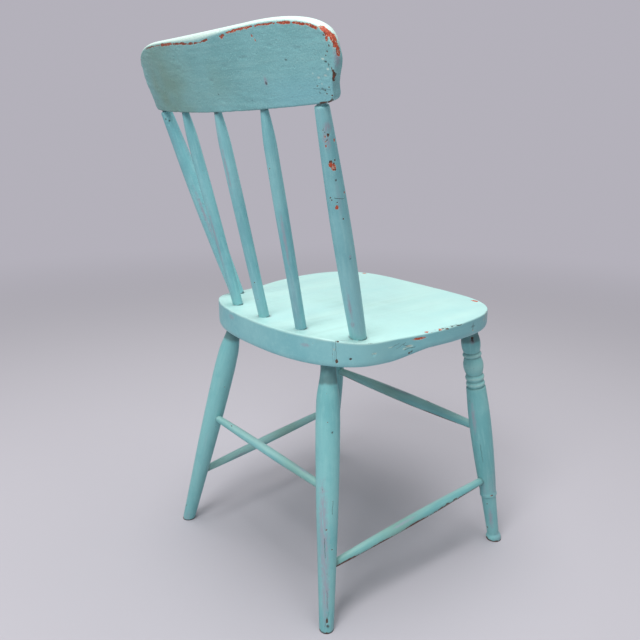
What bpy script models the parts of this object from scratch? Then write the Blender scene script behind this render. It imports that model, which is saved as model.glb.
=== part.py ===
# Painted wooden kitchen chair with a plank seat, turned legs and a bent crest rail.
# Units are metres and +Z is up. The sitter faces -Y, so the sitter's left is +X.
# Y is first measured from the line across the widest part of the seat. At the end
# the whole chair is moved so that the origin is on the floor under its middle.

import math

import bmesh
import bpy
from mathutils import Vector

# Seat plank
SEAT_HEIGHT = 0.435           # floor to the top face
SEAT_THICKNESS = 0.0415
SEAT_WIDTH = 0.4172
SEAT_REAR_DEPTH = 0.173       # widest line to the rear edge
SEAT_FRONT_DEPTH = 0.210      # widest line to the front edge
SEAT_REAR_SQUARENESS = 2.6    # exponent of the rear half's outline, 2 is an ellipse
SEAT_FRONT_SQUARENESS = 4.0
SEAT_WAIST = 0.014            # how far the sides pull in
SEAT_WAIST_FROM_REAR = 0.125
SEAT_WAIST_SPREAD = 0.054
SEAT_SIDE_DROP = 0.0068       # how far the saddle lowers the side edges
SEAT_DROP_FROM_REAR = 0.114
SEAT_DROP_SPREAD = 0.122
SEAT_DROP_REACH = 0.075       # width of the strip that slopes down to the side
SEAT_UNDERCUT = 0.013         # how far the underside is planed up at sides and front
SEAT_UNDERCUT_REACH = 0.035
SEAT_UNDERCUT_FROM_REAR = 0.120
SEAT_UNDERCUT_RUN = 0.060
SEAT_EDGE_ROUND = 0.0035
SEAT_DISH_EDGE = 0.090        # inside this the top is one flat face
SEAT_POINTS = 72

# Rear legs: where each enters the seat, how it leans, and its turned shape
REAR_HEAD_FROM_SIDE = 0.0826
REAR_HEAD_FROM_REAR = 0.0517
RIGHT_REAR_LEAN_OUT = 0.1711  # sideways run for each metre of height
LEFT_REAR_LEAN_OUT = 0.1753
RIGHT_REAR_LEAN_BACK = 0.1359
LEFT_REAR_LEAN_BACK = 0.1922   # the left pair of legs has racked towards the rear
REAR_FOOT_DIAMETER = 0.0218
REAR_CALF_DIAMETER = 0.0307
REAR_CALF_HEIGHT = 0.145
REAR_BELLY_DIAMETER = 0.0362
REAR_BELLY_BELOW_SEAT = 0.098
REAR_SHOULDER_DIAMETER = 0.0345
REAR_SHOULDER_BELOW_SEAT = 0.064
REAR_NECK_DIAMETER = 0.0225
REAR_NECK_BELOW_SEAT = 0.010

# Front legs: the same, with beads, barrels and a ring
FRONT_HEAD_FROM_SIDE = 0.0413
FRONT_HEAD_FROM_FRONT = 0.0647
RIGHT_FRONT_LEAN_OUT = 0.0987
LEFT_FRONT_LEAN_OUT = 0.1503
RIGHT_FRONT_LEAN_FORWARD = 0.1591
LEFT_FRONT_LEAN_FORWARD = 0.0968
FRONT_FOOT_DIAMETER = 0.0262
FRONT_FOOT_HEIGHT = 0.009
FRONT_FOOT_STRAIGHT = 0.0063  # the foot bead's side before it rolls in
FRONT_ANKLE_HEIGHT = 0.012
FRONT_ANKLE_DIAMETER = 0.0204
FRONT_CALF_DIAMETER = 0.0258
RING_HEIGHT = 0.096
RING_DIAMETER = 0.0292
RING_LENGTH = 0.007
FRONT_KNEE_DIAMETER = 0.0278
FRONT_BELLY_DIAMETER = 0.0369
FRONT_BELLY_HEIGHT = 0.233
FRONT_SHAFT_TOP_DIAMETER = 0.0324
TURNING_GROOVE_DIAMETER = 0.0279
GROOVE_STEP = 0.001           # slope from the shaft down into the first groove
TURNING_BEAD_DIAMETER = 0.0312
TURNING_BEAD_LENGTH = 0.0120
BARREL_DIAMETER = 0.0330
BARREL_LENGTH = 0.0314
COLLAR_DIAMETER = 0.0312
COLLAR_LENGTH = 0.0083
CAP_BARREL_DIAMETER = 0.0312
CAP_BARREL_LENGTH = 0.030
CAP_NECK_DIAMETER = 0.0270
CAP_CLEAR_OF_SEAT = 0.003

# Back posts
POST_FROM_SIDE = 0.0476
POST_FROM_REAR = 0.0775
POST_TOP_FROM_CREST_END = 0.0395
POST_BASE_DIAMETER = 0.0238
POST_BELLY_DIAMETER = 0.0269
POST_BELLY_HEIGHT = 0.135
POST_TOP_DIAMETER = 0.0180
POST_TOP_TENON_DIAMETER = 0.0115
POST_SHOULDER_ROUND = 0.003
POST_SHOULDER_GAP = 0.0022

# Spindles
SPINDLE_SPACING = 0.0863      # at the seat, from the centre line
SPINDLE_TOP_SPACING = 0.1045
SIDE_SPINDLE_FROM_REAR = 0.0326
CENTRE_SPINDLE_FROM_REAR = 0.0261
SPINDLE_BASE_DIAMETER = 0.0166
SPINDLE_BELLY_DIAMETER = 0.0180
SPINDLE_BELLY_HEIGHT = 0.190
SPINDLE_TAPER_LENGTH = 0.055
SPINDLE_TOP_DIAMETER = 0.0100

# Crest rail, a board bent to an arc and leaned back
CREST_HEIGHT_ABOVE_SEAT = 0.3014
CREST_BEHIND_SEAT = 0.0436
CREST_RAKE = math.radians(17.5)
CREST_BEND_RADIUS = 0.926
CREST_LENGTH = 0.480
CREST_BOTTOM_LENGTH = 0.452
CREST_WIDTH = 0.0988          # bottom edge to the straight top edge
CREST_WIDEST_DROP = 0.050     # top edge down to the widest place
CREST_SHOULDER_REACH = 0.120  # length of the curve from the straight to the widest place
CREST_SHOULDER_FLATNESS = 2.2   # exponent of the shoulder's curve along the board
CREST_SHOULDER_FULLNESS = 3.4   # its exponent up the board
CREST_CORNER_ROUND = 0.010
CREST_THICKNESS = 0.016
CREST_TOP_ROUND = 0.0078      # how far the top edge's round reaches into the thickness
CREST_ROUND_FLATNESS = 0.62   # its height as a share of that reach
CREST_GRIP_DROP = 0.0055      # extra height of the round where a hand pulls the chair
CREST_GRIP_OFFSET = -0.012    # that place from the middle, to the sitter's left
CREST_GRIP_SPREAD = 0.055
CREST_EDGE_ROUND = 0.0015
CREST_COLUMNS = 26            # strips that follow the bend

# Stretchers: height of each end on its leg, and diameters
BACK_STRETCHER_RIGHT_HEIGHT = 0.2059
BACK_STRETCHER_LEFT_HEIGHT = 0.2138
FRONT_STRETCHER_HEIGHT = 0.2208
RIGHT_STRETCHER_REAR_HEIGHT = 0.0915
LEFT_STRETCHER_REAR_HEIGHT = 0.0985
SIDE_STRETCHER_FRONT_HEIGHT = 0.1241
BACK_STRETCHER_END = 0.0120
BACK_STRETCHER_MIDDLE = 0.0150
FRONT_STRETCHER_END = 0.0135
FRONT_STRETCHER_MIDDLE = 0.0205
SIDE_STRETCHER_END = 0.0125
SIDE_STRETCHER_MIDDLE = 0.0170
STRETCHER_STOP = 0.003        # tenon tip short of the leg's axis

# Joinery
CLEARANCE = 0.0003
LEG_TENON = 0.022
POST_TENON = 0.020
SPINDLE_TENON = 0.018
CREST_TENON = 0.022
SOCKET_MOUTH = 0.012          # how far a bore's cutter reaches outside the wood
FOOT_TRIM = 0.012             # extra length that is sawn level with the floor
LEG_SIDES = 22
POST_SIDES = 20
SPINDLE_SIDES = 16
STRAIGHT_STEPS = 6
SHOULDER_STEPS = 12
END_STEPS = 4
CORNER_STEPS = 3
WELD = 1e-6
SHARP_ANGLE = math.radians(35)

# Paint colours, linear
SEAT_PAINT = (0.26, 0.66, 0.62, 1.0)
LEG_PAINT = (0.16, 0.47, 0.47, 1.0)
BACK_PAINT = (0.16, 0.46, 0.47, 1.0)
CREST_PAINT = (0.15, 0.40, 0.41, 1.0)
PAINT_ROUGHNESS = 0.42

SEAT_UNDERSIDE = SEAT_HEIGHT - SEAT_THICKNESS


def clear_scene():
    for item in list(bpy.data.objects):
        bpy.data.objects.remove(item, do_unlink=True)


def paint(name, color):
    material = bpy.data.materials.new(name)
    material.use_nodes = True
    shader = material.node_tree.nodes["Principled BSDF"]
    shader.inputs["Base Color"].default_value = color
    shader.inputs["Roughness"].default_value = PAINT_ROUGHNESS
    shader.inputs["Metallic"].default_value = 0.0
    material.diffuse_color = color
    return material


def smooth_step(value):
    share = min(max(value, 0.0), 1.0)
    return share * share * (3.0 - 2.0 * share)


def bell(offset, spread):
    return math.exp(-((offset / spread) ** 2))


def new_object(name, mesh, material, frame):
    piece = bpy.data.objects.new(name, mesh)
    piece.parent = frame
    bpy.context.scene.collection.objects.link(piece)
    if material:
        mesh.materials.append(material)
        mesh.shade_smooth()
        mesh.set_sharp_from_angle(angle=SHARP_ANGLE)
    return piece


# Turned pieces are spun from a profile of (distance along the axis, radius) points.

def turned_mesh(name, profile, sides):
    mesh = bpy.data.meshes.new(name)
    shape = bmesh.new()
    low, high = profile[0][0], profile[-1][0]
    outline = [(low, 0.0)] + profile + [(high, 0.0)]
    points = [shape.verts.new((radius, 0.0, along)) for along, radius in outline]
    edges = [shape.edges.new(pair) for pair in zip(points, points[1:])]
    bmesh.ops.spin(shape, geom=points + edges, cent=(0, 0, 0), axis=(0, 0, 1),
                   angle=2 * math.pi, steps=sides, use_merge=True)
    bmesh.ops.remove_doubles(shape, verts=shape.verts, dist=WELD)
    bmesh.ops.recalc_face_normals(shape, faces=shape.faces)
    shape.to_mesh(mesh)
    shape.free()
    return mesh


def stand_along(piece, start, end):
    piece.location = start
    piece.rotation_mode = "QUATERNION"
    piece.rotation_quaternion = (end - start).to_track_quat("Z", "Y")


def turned(name, profile, sides, start, end, material, frame):
    piece = new_object(name, turned_mesh(name, profile, sides), material, frame)
    stand_along(piece, start, end)
    return piece


def socket(target, piece, low, high, radius, sides):
    # The bore has the axis, the facets and the size of the tenon that it takes.
    bore = radius + CLEARANCE
    mesh = turned_mesh(f"{target.name}_bore", [(low, bore), (high, bore)], sides)
    cutter = new_object(f"bore_{target.name}_{piece.name}", mesh, None, piece.parent)
    cutter.location = piece.location
    cutter.rotation_mode = "QUATERNION"
    cutter.rotation_quaternion = piece.rotation_quaternion
    cutter.hide_render = True
    cutter.display_type = "WIRE"
    cut = target.modifiers.new(cutter.name, "BOOLEAN")
    cut.operation = "DIFFERENCE"
    cut.solver = "EXACT"
    cut.object = cutter


def sweep(start, end, kind, steps):
    # Points after start up to end, with the turner's kinds of curve between them.
    points = []
    for step in range(1, steps + 1):
        share = step / steps
        blend = {
            "straight": share,
            "wave": (1 - math.cos(math.pi * share)) / 2,
            "swell": math.sin(math.pi * share / 2),
            "dive": 1 - math.cos(math.pi * share / 2),
        }[kind]
        along = start[0] + (end[0] - start[0]) * share
        points.append((along, start[1] + (end[1] - start[1]) * blend))
    return points


def bead(low, high, foot_radius, top_radius, steps):
    # A half-round bulge between two grooves, after its first groove point.
    points = []
    for step in range(1, steps + 1):
        angle = math.pi * step / steps
        along = (low + high) / 2 - math.cos(angle) * (high - low) / 2
        points.append((along, foot_radius + (top_radius - foot_radius) * math.sin(angle)))
    return points


# Seat

def seat_outline():
    points = []
    for index in range(SEAT_POINTS):
        angle = 2 * math.pi * (index + 0.5) / SEAT_POINTS
        across, along = math.cos(angle), math.sin(angle)
        squareness = SEAT_REAR_SQUARENESS if along > 0 else SEAT_FRONT_SQUARENESS
        depth = SEAT_REAR_DEPTH if along > 0 else SEAT_FRONT_DEPTH
        x = math.copysign(abs(across) ** (2 / squareness), across) * SEAT_WIDTH / 2
        y = math.copysign(abs(along) ** (2 / squareness), along) * depth
        waist = SEAT_WAIST * bell(SEAT_REAR_DEPTH - SEAT_WAIST_FROM_REAR - y, SEAT_WAIST_SPREAD)
        x *= 1 - waist / (SEAT_WIDTH / 2)
        points.append((x, y))
    return points


def seat_top(x, y):
    drop = SEAT_SIDE_DROP * bell(SEAT_REAR_DEPTH - SEAT_DROP_FROM_REAR - y, SEAT_DROP_SPREAD)
    flat_half = SEAT_WIDTH / 2 - SEAT_WAIST - SEAT_DROP_REACH
    return SEAT_HEIGHT - drop * smooth_step((abs(x) - flat_half) / SEAT_DROP_REACH)


def seat_bottom(y, inset):
    start = SEAT_REAR_DEPTH - SEAT_UNDERCUT_FROM_REAR
    rise = SEAT_UNDERCUT * smooth_step((start - y) / SEAT_UNDERCUT_RUN)
    return SEAT_UNDERSIDE + rise * smooth_step(1 - inset / SEAT_UNDERCUT_REACH)


def inset_point(point, inset):
    # Moves a point of the outline towards the middle of the seat.
    reach = math.hypot(*point)
    return (point[0] * (1 - inset / reach), point[1] * (1 - inset / reach))


def make_seat(material, frame):
    outline = seat_outline()
    mesh = bpy.data.meshes.new("seat")
    shape = bmesh.new()
    small = SEAT_EDGE_ROUND * (1 - math.sqrt(0.5))
    reach = SEAT_UNDERCUT_REACH
    rings = []

    def add_ring(inset, height):
        ring = []
        for point in outline:
            x, y = inset_point(point, inset)
            ring.append(shape.verts.new((x, y, height(x, y))))
        rings.append(ring)

    add_ring(reach, lambda x, y: seat_bottom(y, reach))
    add_ring(reach / 2, lambda x, y: seat_bottom(y, reach / 2))
    add_ring(0.0, lambda x, y: seat_bottom(y, 0.0))
    add_ring(0.0, lambda x, y: seat_top(x, y) - SEAT_EDGE_ROUND)
    add_ring(small, lambda x, y: seat_top(x, y) - small)
    add_ring(SEAT_EDGE_ROUND, seat_top)
    add_ring(SEAT_DROP_REACH / 3, seat_top)
    add_ring(SEAT_DROP_REACH * 2 / 3, seat_top)
    add_ring(SEAT_DISH_EDGE, seat_top)
    for lower, upper in zip(rings, rings[1:]):
        for index in range(len(lower)):
            after = (index + 1) % len(lower)
            shape.faces.new((lower[index], lower[after], upper[after], upper[index]))
    shape.faces.new(rings[-1])
    shape.faces.new(list(reversed(rings[0])))
    bmesh.ops.recalc_face_normals(shape, faces=shape.faces)
    shape.to_mesh(mesh)
    shape.free()
    return new_object("seat", mesh, material, frame)


# Legs

def leg_ends(side, from_side, from_edge, lean_out, lean_along, front):
    # The leg's axis: its foot on the floor and its head on the seat's underside.
    direction = -1 if front else 1
    edge = SEAT_FRONT_DEPTH if front else SEAT_REAR_DEPTH
    head = Vector((side * (SEAT_WIDTH / 2 - from_side), direction * (edge - from_edge), SEAT_UNDERSIDE))
    run = Vector((side * lean_out, direction * lean_along, -1.0)) * SEAT_UNDERSIDE
    return head + run, head


def rear_leg_profile(length):
    neck = REAR_NECK_DIAMETER / 2
    points = [(-FOOT_TRIM, REAR_FOOT_DIAMETER / 2), (0.0, REAR_FOOT_DIAMETER / 2)]
    calf = (REAR_CALF_HEIGHT, REAR_CALF_DIAMETER / 2)
    belly = (length - REAR_BELLY_BELOW_SEAT, REAR_BELLY_DIAMETER / 2)
    shoulder = (length - REAR_SHOULDER_BELOW_SEAT, REAR_SHOULDER_DIAMETER / 2)
    throat = (length - REAR_NECK_BELOW_SEAT, neck)
    points += sweep(points[-1], calf, "straight", 4)
    points += sweep(calf, belly, "swell", 4)
    points += sweep(belly, shoulder, "dive", 2)
    points += sweep(shoulder, throat, "wave", 5)
    points.append((length + LEG_TENON, neck))
    return points


def front_leg_profile(length):
    groove = TURNING_GROOVE_DIAMETER / 2
    neck = CAP_NECK_DIAMETER / 2
    cap_low = length - CAP_CLEAR_OF_SEAT - CAP_BARREL_LENGTH
    collar_low = cap_low - COLLAR_LENGTH
    barrel_low = collar_low - BARREL_LENGTH
    bead_low = barrel_low - 2 * TURNING_BEAD_LENGTH
    foot = FRONT_FOOT_DIAMETER / 2
    ankle = (FRONT_ANKLE_HEIGHT, FRONT_ANKLE_DIAMETER / 2)
    calf = (RING_HEIGHT - RING_LENGTH / 2, FRONT_CALF_DIAMETER / 2)
    knee = (RING_HEIGHT + RING_LENGTH / 2, FRONT_KNEE_DIAMETER / 2)
    belly = (FRONT_BELLY_HEIGHT, FRONT_BELLY_DIAMETER / 2)
    shaft_top = (bead_low, FRONT_SHAFT_TOP_DIAMETER / 2)
    points = [(-FOOT_TRIM, foot), (FRONT_FOOT_STRAIGHT, foot), ankle]
    points += sweep(ankle, calf, "straight", 4)
    points += [(RING_HEIGHT - RING_LENGTH / 4, RING_DIAMETER / 2)]
    points += [(RING_HEIGHT + RING_LENGTH / 4, RING_DIAMETER / 2), knee]
    points += sweep(knee, belly, "swell", 4)
    points += sweep(belly, shaft_top, "dive", 4)
    points.append((bead_low + GROOVE_STEP, groove))
    for index in range(2):
        low = bead_low + GROOVE_STEP + index * TURNING_BEAD_LENGTH
        points += bead(low, low + TURNING_BEAD_LENGTH, groove, TURNING_BEAD_DIAMETER / 2, 4)
    points += bead(barrel_low + GROOVE_STEP, collar_low, groove, BARREL_DIAMETER / 2, 6)
    points += bead(collar_low, cap_low, groove, COLLAR_DIAMETER / 2, 4)
    points += bead(cap_low, cap_low + CAP_BARREL_LENGTH, neck, CAP_BARREL_DIAMETER / 2, 6)
    points.append((length + LEG_TENON, neck))
    return points


def saw_level(piece):
    # Trims the foot with a horizontal cut at the floor.
    turn = piece.rotation_quaternion.inverted()
    shape = bmesh.new()
    shape.from_mesh(piece.data)
    parts = list(shape.verts) + list(shape.edges) + list(shape.faces)
    cut = bmesh.ops.bisect_plane(shape, geom=parts, plane_co=(0, 0, 0),
                                 plane_no=turn @ Vector((0, 0, -1)), clear_outer=True)
    rim = [item for item in cut["geom_cut"] if isinstance(item, bmesh.types.BMEdge)]
    bmesh.ops.contextual_create(shape, geom=rim)
    bmesh.ops.recalc_face_normals(shape, faces=shape.faces)
    shape.to_mesh(piece.data)
    shape.free()
    piece.data.set_sharp_from_angle(angle=SHARP_ANGLE)


def make_leg(name, ends, profile, neck, seat, material, frame):
    foot, head = ends
    length = (head - foot).length
    leg = turned(name, profile(length), LEG_SIDES, foot, head, material, frame)
    saw_level(leg)
    socket(seat, leg, length - SOCKET_MOUTH - SEAT_UNDERCUT, length + LEG_TENON + CLEARANCE,
           neck / 2, LEG_SIDES)
    return leg


# Stretchers

def on_leg(ends, height):
    foot, head = ends
    return foot + (head - foot) * (height / SEAT_UNDERSIDE)


def make_stretcher(name, start, end, legs, end_diameter, middle_diameter, material, frame):
    length = (end - start).length
    low, high = STRETCHER_STOP, length - STRETCHER_STOP
    tip, middle = end_diameter / 2, middle_diameter / 2
    points = [(low, tip)]
    points += sweep((low + REAR_CALF_DIAMETER / 2, tip), (length / 2, middle), "swell", 4)
    points.insert(1, (low + REAR_CALF_DIAMETER / 2, tip))
    points += sweep((length / 2, middle), (high - REAR_CALF_DIAMETER / 2, tip), "dive", 4)
    points.append((high, tip))
    stretcher = turned(name, points, SPINDLE_SIDES, start, end, material, frame)
    reach = BARREL_DIAMETER + SOCKET_MOUTH
    socket(legs[0], stretcher, low - CLEARANCE, low + reach, tip, SPINDLE_SIDES)
    socket(legs[1], stretcher, high - reach, high + CLEARANCE, tip, SPINDLE_SIDES)
    return stretcher


# Crest rail

def crest_point(along, up, out):
    # along follows the bend from the middle, up climbs the board, out is towards its back.
    angle = along / CREST_BEND_RADIUS
    x = (CREST_BEND_RADIUS + out) * math.sin(angle)
    deep = (CREST_BEND_RADIUS + out) * math.cos(angle) - CREST_BEND_RADIUS
    foot_y = SEAT_REAR_DEPTH + CREST_BEHIND_SEAT
    foot_z = SEAT_HEIGHT + CREST_HEIGHT_ABOVE_SEAT
    y = foot_y + deep * math.cos(CREST_RAKE) + up * math.sin(CREST_RAKE)
    z = foot_z - deep * math.sin(CREST_RAKE) + up * math.cos(CREST_RAKE)
    return Vector((x, y, z))


def crest_half_outline():
    # From the middle of the top edge, over the shoulder, round the end, to the bottom.
    half = CREST_LENGTH / 2
    straight = half - CREST_SHOULDER_REACH
    points = [(straight * step / STRAIGHT_STEPS, CREST_WIDTH) for step in range(STRAIGHT_STEPS)]
    for step in range(SHOULDER_STEPS + 1):
        angle = math.pi / 2 * (1 - step / SHOULDER_STEPS)
        across = abs(math.cos(angle)) ** (2 / CREST_SHOULDER_FLATNESS)
        fall = 1 - abs(math.sin(angle)) ** (2 / CREST_SHOULDER_FULLNESS)
        points.append((straight + CREST_SHOULDER_REACH * across, CREST_WIDTH - CREST_WIDEST_DROP * fall))
    bottom_half = CREST_BOTTOM_LENGTH / 2
    widest_up = CREST_WIDTH - CREST_WIDEST_DROP
    for step in range(1, END_STEPS + 1):
        share = step / END_STEPS
        along = half - (half - bottom_half) * (1 - math.cos(math.pi * share)) / 2
        points.append((along, widest_up + (CREST_CORNER_ROUND - widest_up) * share))
    for step in range(1, CORNER_STEPS + 1):
        angle = math.pi / 2 * step / CORNER_STEPS
        along = bottom_half - CREST_CORNER_ROUND * (1 - math.cos(angle))
        points.append((along, CREST_CORNER_ROUND * (1 - math.sin(angle))))
    return points


def crest_round(along, up, side):
    # Reach and height of the edge's round: large along the top, small lower down, and
    # higher on the back where the hand goes.
    share = smooth_step((up - CREST_CORNER_ROUND) / (CREST_WIDTH - CREST_WIDEST_DROP))
    reach = CREST_EDGE_ROUND + (CREST_TOP_ROUND - CREST_EDGE_ROUND) * share
    height = CREST_EDGE_ROUND + (CREST_TOP_ROUND * CREST_ROUND_FLATNESS - CREST_EDGE_ROUND) * share
    if side > 0:
        height += CREST_GRIP_DROP * share * bell(along - CREST_GRIP_OFFSET, CREST_GRIP_SPREAD)
    return reach, height


def make_crest(material, frame):
    half = crest_half_outline()
    outline = half + [(-along, up) for along, up in reversed(half) if along > 0]
    count = len(outline)
    mesh = bpy.data.meshes.new("crest_rail")
    shape = bmesh.new()
    rings = []
    rising = list(range(CORNER_STEPS + 1))
    for side, order in ((1, rising), (-1, rising[::-1])):
        for step in order:
            angle = math.pi / 2 * step / CORNER_STEPS
            ring = []
            for index, (along, up) in enumerate(outline):
                before, after = outline[index - 1], outline[(index + 1) % count]
                normal = Vector((before[1] - after[1], after[0] - before[0])).normalized()
                reach, height = crest_round(along, up, side)
                inset = height * (1 - math.sin(angle))
                out = side * (CREST_THICKNESS / 2 - reach * (1 - math.cos(angle)))
                ring.append(shape.verts.new((along - normal.x * inset, up - normal.y * inset, out)))
            rings.append(ring)
    for lower, upper in zip(rings, rings[1:]):
        for index in range(count):
            after = (index + 1) % count
            shape.faces.new((lower[index], lower[after], upper[after], upper[index]))
    shape.faces.new(rings[0])
    shape.faces.new(list(reversed(rings[-1])))
    for column in range(1, CREST_COLUMNS):
        along = CREST_LENGTH * (column / CREST_COLUMNS - 0.5)
        parts = list(shape.verts) + list(shape.edges) + list(shape.faces)
        bmesh.ops.bisect_plane(shape, geom=parts, dist=WELD, plane_co=(along, 0, 0), plane_no=(1, 0, 0))
    for point in shape.verts:
        point.co = crest_point(*point.co)
    bmesh.ops.recalc_face_normals(shape, faces=shape.faces)
    shape.to_mesh(mesh)
    shape.free()
    return new_object("crest_rail", mesh, material, frame)


# Back posts and spindles

def seat_spot(x, from_rear):
    y = SEAT_REAR_DEPTH - from_rear
    return Vector((x, y, seat_top(x, y)))


def post_profile(length):
    base, top = POST_BASE_DIAMETER / 2, POST_TOP_DIAMETER / 2
    tenon = POST_TOP_TENON_DIAMETER / 2
    belly = (POST_BELLY_HEIGHT, POST_BELLY_DIAMETER / 2)
    shoulder = (length - POST_SHOULDER_GAP - POST_SHOULDER_ROUND, top)
    points = [(-POST_TENON, base), (0.0, base)]
    points += sweep((0.0, base), belly, "swell", 4)
    points += sweep(belly, shoulder, "dive", 6)
    points.append((length - POST_SHOULDER_GAP - POST_SHOULDER_ROUND / 3, (2 * top + tenon) / 3))
    points += [(length - POST_SHOULDER_GAP, tenon), (length + CREST_TENON, tenon)]
    return points


def spindle_profile(length):
    base, top = SPINDLE_BASE_DIAMETER / 2, SPINDLE_TOP_DIAMETER / 2
    belly = (SPINDLE_BELLY_HEIGHT, SPINDLE_BELLY_DIAMETER / 2)
    taper = (length - SPINDLE_TAPER_LENGTH, (SPINDLE_BELLY_DIAMETER + SPINDLE_BASE_DIAMETER) / 4)
    points = [(-SPINDLE_TENON, base), (0.0, base)]
    points += sweep((0.0, base), belly, "wave", 4)
    points += sweep(belly, taper, "dive", 2)
    points += sweep(taper, (length, top), "dive", 4)
    points.append((length + CREST_TENON, top))
    return points


def make_upright(name, base, top, profile, radii, seat_tenon, sides, seat, crest, material, frame):
    length = (top - base).length
    upright = turned(name, profile(length), sides, base, top, material, frame)
    socket(seat, upright, -seat_tenon - CLEARANCE, SOCKET_MOUTH, radii[0], sides)
    socket(crest, upright, length - SOCKET_MOUTH, length + CREST_TENON + CLEARANCE, radii[1], sides)
    return upright


def centre_on_floor(frame):
    # Puts the origin on the floor under the middle of the chair's box.
    bpy.context.view_layer.update()
    corners = []
    for piece in bpy.data.objects:
        if piece.type == "MESH" and not piece.hide_render:
            corners += [piece.matrix_world @ point.co for point in piece.data.vertices]
    for axis in range(2):
        values = [corner[axis] for corner in corners]
        frame.location[axis] = -(min(values) + max(values)) / 2


def build_chair():
    clear_scene()
    frame = bpy.data.objects.new("chair", None)
    bpy.context.scene.collection.objects.link(frame)
    seat_paint = paint("seat_paint", SEAT_PAINT)
    leg_paint = paint("leg_paint", LEG_PAINT)
    back_paint = paint("back_paint", BACK_PAINT)
    crest_paint = paint("crest_paint", CREST_PAINT)

    seat = make_seat(seat_paint, frame)
    ends = {
        "rear_leg_right": leg_ends(-1, REAR_HEAD_FROM_SIDE, REAR_HEAD_FROM_REAR,
                                   RIGHT_REAR_LEAN_OUT, RIGHT_REAR_LEAN_BACK, False),
        "rear_leg_left": leg_ends(1, REAR_HEAD_FROM_SIDE, REAR_HEAD_FROM_REAR,
                                  LEFT_REAR_LEAN_OUT, LEFT_REAR_LEAN_BACK, False),
        "front_leg_right": leg_ends(-1, FRONT_HEAD_FROM_SIDE, FRONT_HEAD_FROM_FRONT,
                                    RIGHT_FRONT_LEAN_OUT, RIGHT_FRONT_LEAN_FORWARD, True),
        "front_leg_left": leg_ends(1, FRONT_HEAD_FROM_SIDE, FRONT_HEAD_FROM_FRONT,
                                   LEFT_FRONT_LEAN_OUT, LEFT_FRONT_LEAN_FORWARD, True),
    }
    legs = {}
    for name, pair in ends.items():
        front = name.startswith("front")
        profile = front_leg_profile if front else rear_leg_profile
        neck = CAP_NECK_DIAMETER if front else REAR_NECK_DIAMETER
        legs[name] = make_leg(name, pair, profile, neck, seat, leg_paint, frame)

    rear_pair, front_pair = ("rear_leg_right", "rear_leg_left"), ("front_leg_right", "front_leg_left")
    runs = [
        ("back_stretcher", rear_pair, BACK_STRETCHER_RIGHT_HEIGHT, BACK_STRETCHER_LEFT_HEIGHT,
         BACK_STRETCHER_END, BACK_STRETCHER_MIDDLE),
        ("front_stretcher", front_pair, FRONT_STRETCHER_HEIGHT, FRONT_STRETCHER_HEIGHT,
         FRONT_STRETCHER_END, FRONT_STRETCHER_MIDDLE),
        ("side_stretcher_right", (rear_pair[0], front_pair[0]), RIGHT_STRETCHER_REAR_HEIGHT,
         SIDE_STRETCHER_FRONT_HEIGHT, SIDE_STRETCHER_END, SIDE_STRETCHER_MIDDLE),
        ("side_stretcher_left", (rear_pair[1], front_pair[1]), LEFT_STRETCHER_REAR_HEIGHT,
         SIDE_STRETCHER_FRONT_HEIGHT, SIDE_STRETCHER_END, SIDE_STRETCHER_MIDDLE),
    ]
    for name, (first, second), low, high, end_size, middle_size in runs:
        start, end = on_leg(ends[first], low), on_leg(ends[second], high)
        make_stretcher(name, start, end, (legs[first], legs[second]), end_size, middle_size,
                       leg_paint, frame)

    crest = make_crest(crest_paint, frame)
    post_x = SEAT_WIDTH / 2 - POST_FROM_SIDE
    post_along = CREST_LENGTH / 2 - POST_TOP_FROM_CREST_END
    for name, side in (("back_post_right", -1), ("back_post_left", 1)):
        make_upright(name, seat_spot(side * post_x, POST_FROM_REAR), crest_point(side * post_along, 0, 0),
                     post_profile, (POST_BASE_DIAMETER / 2, POST_TOP_TENON_DIAMETER / 2), POST_TENON,
                     POST_SIDES, seat, crest, back_paint, frame)
    for name, side in (("spindle_right", -1), ("spindle_centre", 0), ("spindle_left", 1)):
        from_rear = SIDE_SPINDLE_FROM_REAR if side else CENTRE_SPINDLE_FROM_REAR
        make_upright(name, seat_spot(side * SPINDLE_SPACING, from_rear),
                     crest_point(side * SPINDLE_TOP_SPACING, 0, 0), spindle_profile,
                     (SPINDLE_BASE_DIAMETER / 2, SPINDLE_TOP_DIAMETER / 2), SPINDLE_TENON,
                     SPINDLE_SIDES, seat, crest, back_paint, frame)
    centre_on_floor(frame)


build_chair()
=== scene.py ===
# Old kitchen chair under worn turquoise paint.
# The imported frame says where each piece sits. This script turns, shapes and paints them in fine detail.

import math

import bmesh
import bpy
import numpy as np
from mathutils import Matrix, Vector


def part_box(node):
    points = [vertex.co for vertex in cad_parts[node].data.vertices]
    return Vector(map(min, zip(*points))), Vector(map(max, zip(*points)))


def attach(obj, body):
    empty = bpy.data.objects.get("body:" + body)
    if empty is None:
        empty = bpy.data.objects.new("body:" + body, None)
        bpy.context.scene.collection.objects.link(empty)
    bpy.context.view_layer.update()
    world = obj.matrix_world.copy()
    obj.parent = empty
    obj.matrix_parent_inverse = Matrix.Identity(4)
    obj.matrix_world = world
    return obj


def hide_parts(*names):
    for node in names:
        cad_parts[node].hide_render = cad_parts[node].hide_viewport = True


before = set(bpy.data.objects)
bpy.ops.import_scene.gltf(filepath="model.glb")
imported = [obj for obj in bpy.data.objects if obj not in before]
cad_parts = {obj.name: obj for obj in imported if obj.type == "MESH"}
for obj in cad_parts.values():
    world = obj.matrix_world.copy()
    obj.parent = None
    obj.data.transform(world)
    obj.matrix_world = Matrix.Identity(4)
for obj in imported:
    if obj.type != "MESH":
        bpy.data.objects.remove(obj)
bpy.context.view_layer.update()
mm = 0.001


# Smooth random values

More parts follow.
